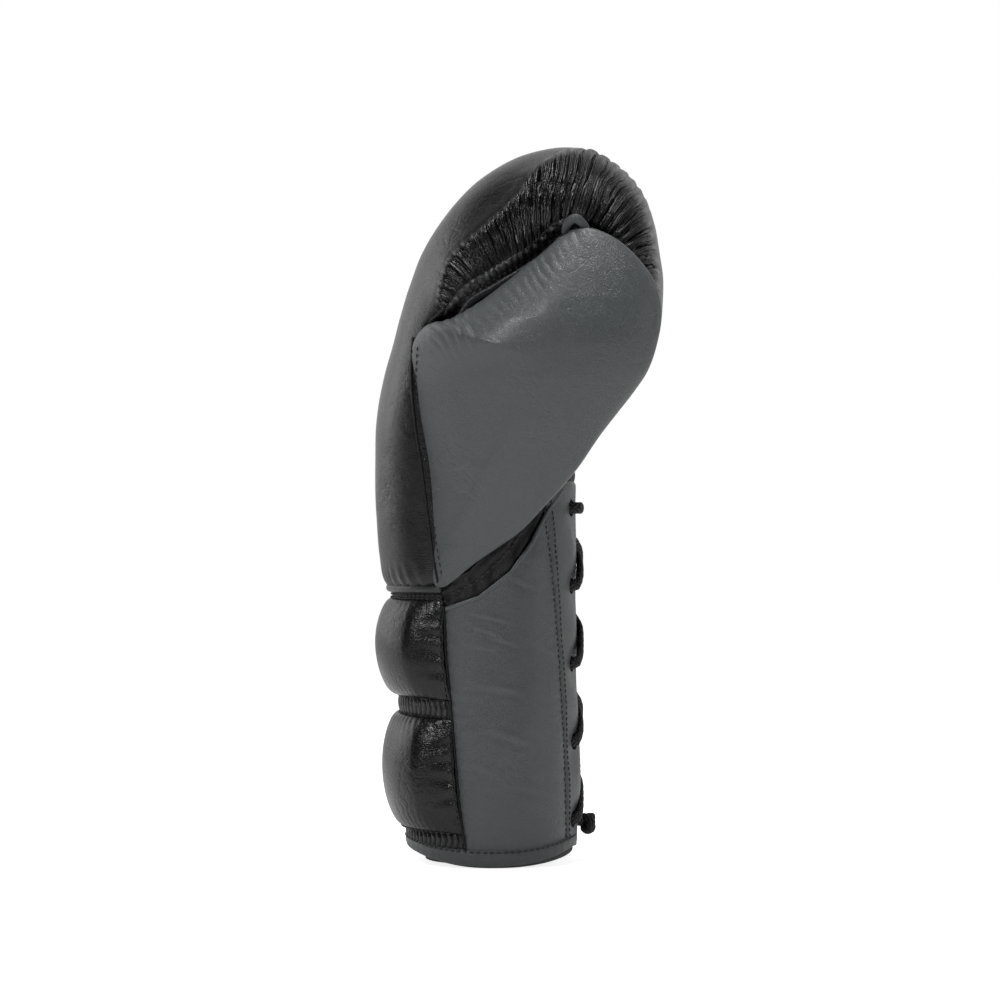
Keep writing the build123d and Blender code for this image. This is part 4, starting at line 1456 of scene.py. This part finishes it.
class GLOVE_OT_hem(bpy.types.Operator):
    """Folded leather binding of the hem, with the lining's dark edge inside it, which shows below
    the binding and partly stands for a painted shadow under it
    """

    bl_idname = "glove.hem"
    bl_label = "Hem"

    def execute(self, context):
        flap, slit = hem_turns()
        for stem, start, stop, side, node in (
            ("Hem", flap, 2 * np.pi - slit, -1, "hem_binding"),
            ("Flap_hem", slit, flap, 1, "flap_hem_binding"),
        ):
            count = int((stop - start) * 90)
            turn = np.linspace(start, stop, count)[:, None]
            ring = np.linspace(0, 2 * np.pi, 28, endpoint=False)[None, :]
            for part, kind, mid, deep, low, high, rise, slot in (
                ("_binding", "grey_trim", -1.7, 3.0, 0.9, 8.6, 6.4, "grey_leather"),
                # The dark lining edge below the binding is partly a real lining edge and partly a
                # painted shadow under the binding's lower side.
                ("_lining_edge", "lining", -5.4, 4.6, 0.05, 7.4, 3.0, "lining"),
            ):
                across = mid + deep * np.sign(np.cos(ring)) * np.abs(np.cos(ring)) ** 0.7
                tall = (high - low) / 2 * np.sign(np.sin(ring)) * np.abs(np.sin(ring)) ** 0.7
                wave = 0.06 * np.sin(turn * 46) * (part == "_binding")
                z = (low + high) / 2 + tall * (1 - 0.2 * np.cos(turn) ** 2) + hem_lift(turn, rise)
                grid = cuff_point(z, turn + 0 * z, across + wave)
                piece = close_ends(skin(stem + part, grid, grid.reshape(-1, 3).mean(0), wrap=True))
                dress(piece, kind)
                if part == "_binding":
                    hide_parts(node)
                with_side(side)(piece)
        return {"FINISHED"}


# ---------------------------------------------------------------- seams and stitching
def round_the_cuff(z, start, stop, count, pieces, lift=0.0, side=1.0):
    """A line round the cuff at a height of the turn, laid on the pieces there."""
    turn = np.linspace(start, stop, count)
    points = cuff_point(z(turn) if callable(z) else z + 0 * turn, turn, 0.0)
    points[:, 1] *= side
    return laid_on(pieces, points, -away_from_middle(points), lift, reach=30.0)


class GLOVE_OT_seams(bpy.types.Operator):
    """Side seams, thread lines and rows of stitching"""

    bl_idname = "glove.seams"
    bl_label = "Seams and stitching"

    def execute(self, context):
        pitch = context.scene.glove_looks.stitch_pitch / MM
        known = bpy.data.objects
        back, palm = known["Mitt_back_leather"], known["Mitt_palm_leather"]
        thumb = known["Thumb_leather"]
        strips = [
            known[name] for name in
            ("Lower_roll_leather", "Upper_roll_leather", "Roll_band", "Hem_band_gathered")
        ]

        # Corded side seams of the cuff, between the rolls and the panels.
        for name, side in (("Thumb_side", -1.0), ("Little_side", 1.0)):
            panel = known[name + "_panel"]
            heights = np.linspace(9.0, 116.5, 120)
            path = cuff_point(heights, turn_at_x(heights, side_seam(heights)), 0.9)
            path[:, 1] *= side
            outward = away_from_middle(path)
            cord = cord_skin(name + "_seam_cord", path, 0.6, outward, sides=10)
            dress(cord, "black_soft")
            with_cuff(cord)
            spots = cuff_point(heights, turn_at_x(heights, side_seam(heights) - 1.2), 0.0)
            spots[:, 1] *= side
            row = laid_on([*strips, panel], spots, -away_from_middle(spots), 0.1, reach=30.0)
            sewn(name + "_seam_stitching", [(*row, pitch)], with_cuff)

            # Double row at the seam of the laced strip, and one along its edge.
            facing = known[name + "_facing"]
            rows = []
            z = np.linspace(12.0, 169.0, 180)
            for y in (facing_seam(z) + 1.5, facing_seam(z) - 0.8, np.full_like(z, 14.0)):
                points = np.stack([60.0 + 0 * z, side * y, z], 1)
                lift = 0.0 if y[0] > HOLE_Y else -0.35
                rows.append((*laid_on([facing, panel], points, (-1, 0, 0), lift), 2.5))
            name_of_rows = name + "_facing_stitching"
            sewn(name_of_rows, rows, with_side(side), length=1.8, thread=0.3)

            # The rolled top edge of the panel.
            share = np.linspace(-20.8, 31.0, 120)
            height = heights_of(CUFF_TOP, share) - 0.6
            spots = cuff_point(height, turn_at_x(height, share), 0.7)
            spots[:, 1] *= side
            away = away_from_middle(spots)
            top = cord_skin(name + "_panel_top_roll", spots, 1.0, away, sides=12, flat=0.6)
            dress(top, "grey")
            with_side(side)(top)

            # Stitched line along the gusset.
            gusset = known[name + "_gusset_leather"]
            share = np.linspace(-19.0, 27.0, 90)
            height = heights_of(CUFF_TOP, share) * 0.45 + heights_of(MITT_LOW, share) * 0.55
            spots = cuff_point(height, turn_at_x(height, share), 0.0)
            spots[:, 1] *= side
            row = laid_on([gusset], spots, -away_from_middle(spots, 120.0), 0.1, reach=30.0)
            sewn(name + "_gusset_stitching", [(*row, pitch)], with_gusset)

        # Rows along the bands of the back.
        first = float(turn_at_x(70.0, BAND_START))
        last = 2 * np.pi - first
        wrist = known["Wrist_strip"]
        rows = []
        for low, drop in ((65.9, SEAM_DROP), (73.3, SEAM_DROP), (14.9, SEAM_DROP), (119.3, 0)):

            def line(turn, low=low, drop=drop):
                return low - drop * cuff_point(60.0 + 0 * turn, turn, 0.0)[:, 0]

            rows.append((*round_the_cuff(line, first, last, 300, [*strips, wrist], 0.15), 2.9))
        sewn("Roll_stitching", rows, with_cuff)
        row = round_the_cuff(121.2, first, last, 300, [wrist], 0.15)
        sewn("Wrist_stitching", [(*row, 2.9)], with_hand)

        # Binding.
        def edge(turn):
            return 7.3 + hem_lift(turn) - 0.6 * np.cos(turn) ** 2

        flap, slit = hem_turns()
        for name, start, stop, side in (
            ("Hem_binding", flap, 2 * np.pi - slit, -1), ("Flap_hem_binding", slit, flap, 1),
        ):
            row = round_the_cuff(edge, start + 0.02, stop - 0.02, 400, [known[name]], 0.05)
            sewn(name + "_stitching", [(*row, 3.0)], with_side(side))

        # The thumb's seam down the back of the mitt.
        left = [
            (-35.5, 236), (-36.2, 220), (-34.8, 200), (-31.8, 180), (-29.2, 160), (-26.6, 140),
            (-24.4, 127),
        ]
        start = as_path(left, 150) + (0, -80, 0)
        spots, away = laid_on([back, thumb], start, (0, 1, 0), 0.15)
        cord = cord_skin("Thumb_seam_cord", spots, 0.55, away, sides=8)
        dress(cord, "black_soft")
        with_mitt(cord)
        beside = [
            (-33.2, 232), (-34.0, 218), (-32.4, 200), (-29.6, 180), (-27.0, 160), (-24.6, 142),
            (-22.6, 130),
        ]
        row = laid_on([thumb], as_path(beside, 150) + (0, -80, 0), (0, 1, 0), 0.05)
        sewn("Thumb_seam_stitching", [(*row, pitch)], with_thumb, length=2.0, thread=0.3)

        # The seam between the black back and the grey palm, on the little-finger side.
        core = smooth_path(MITT_CORE, 200)
        core = core[core[:, 1] < 246]
        points = np.stack([core[:, 0], 0 * core[:, 0] + 90, core[:, 1]], 1)
        spots, away = laid_on([back, palm], points, (0, -1, 0), 0.1)
        cord = cord_skin("Little_side_mitt_seam", spots, 0.8, away, sides=10)
        dress(cord, "black_soft")
        with_mitt(cord)
        rows = []
        for step in (-2.6, 2.6):
            rows.append((*laid_on([back, palm], points + (step, 0, 0), (0, -1, 0), 0.1), pitch))
        sewn("Little_side_mitt_stitching", rows, with_mitt)
        return {"FINISHED"}


# ---------------------------------------------------------------- the linings
class GLOVE_OT_linings(bpy.types.Operator):
    """Cloth and leather finishes of the linings and the grip bar"""

    bl_idname = "glove.linings"
    bl_label = "Linings"

    def execute(self, context):
        for node in ("cuff_lining", "flap_lining", "hand_lining", "thumb_lining"):
            dress(frame["nodes"][node], "lining")
        dress(frame["nodes"]["grip_bar"], "black_soft")
        return {"FINISHED"}


PIECES = (
    GLOVE_OT_stage, GLOVE_OT_mitt, GLOVE_OT_thumb, GLOVE_OT_wrist_rolls, GLOVE_OT_cuff_panels,
    GLOVE_OT_lacing, GLOVE_OT_wrist_seam, GLOVE_OT_hem, GLOVE_OT_seams, GLOVE_OT_linings,
)


class GLOVE_PT_panel(bpy.types.Panel):
    """The glove's pieces, sizes and colours"""

    bl_idname = "GLOVE_PT_panel"
    bl_label = "Lace-up boxing glove"
    bl_space_type = "VIEW_3D"
    bl_region_type = "UI"
    bl_category = "Glove"

    def draw(self, context):
        for name in GloveLooks.__annotations__:
            self.layout.prop(context.scene.glove_looks, name)
        for piece in PIECES:
            self.layout.operator(piece.bl_idname)


def register():
    for kind in (GloveLooks, *PIECES, GLOVE_PT_panel):
        bpy.utils.register_class(kind)
    bpy.types.Scene.glove_looks = bpy.props.PointerProperty(type=GloveLooks)


def unregister():
    del bpy.types.Scene.glove_looks
    for kind in (GLOVE_PT_panel, *reversed(PIECES), GloveLooks):
        bpy.utils.unregister_class(kind)


def main():
    register()
    for piece in PIECES:
        group, name = piece.bl_idname.split(".")
        getattr(getattr(bpy.ops, group), name)()


if __name__ == "__main__":
    main()
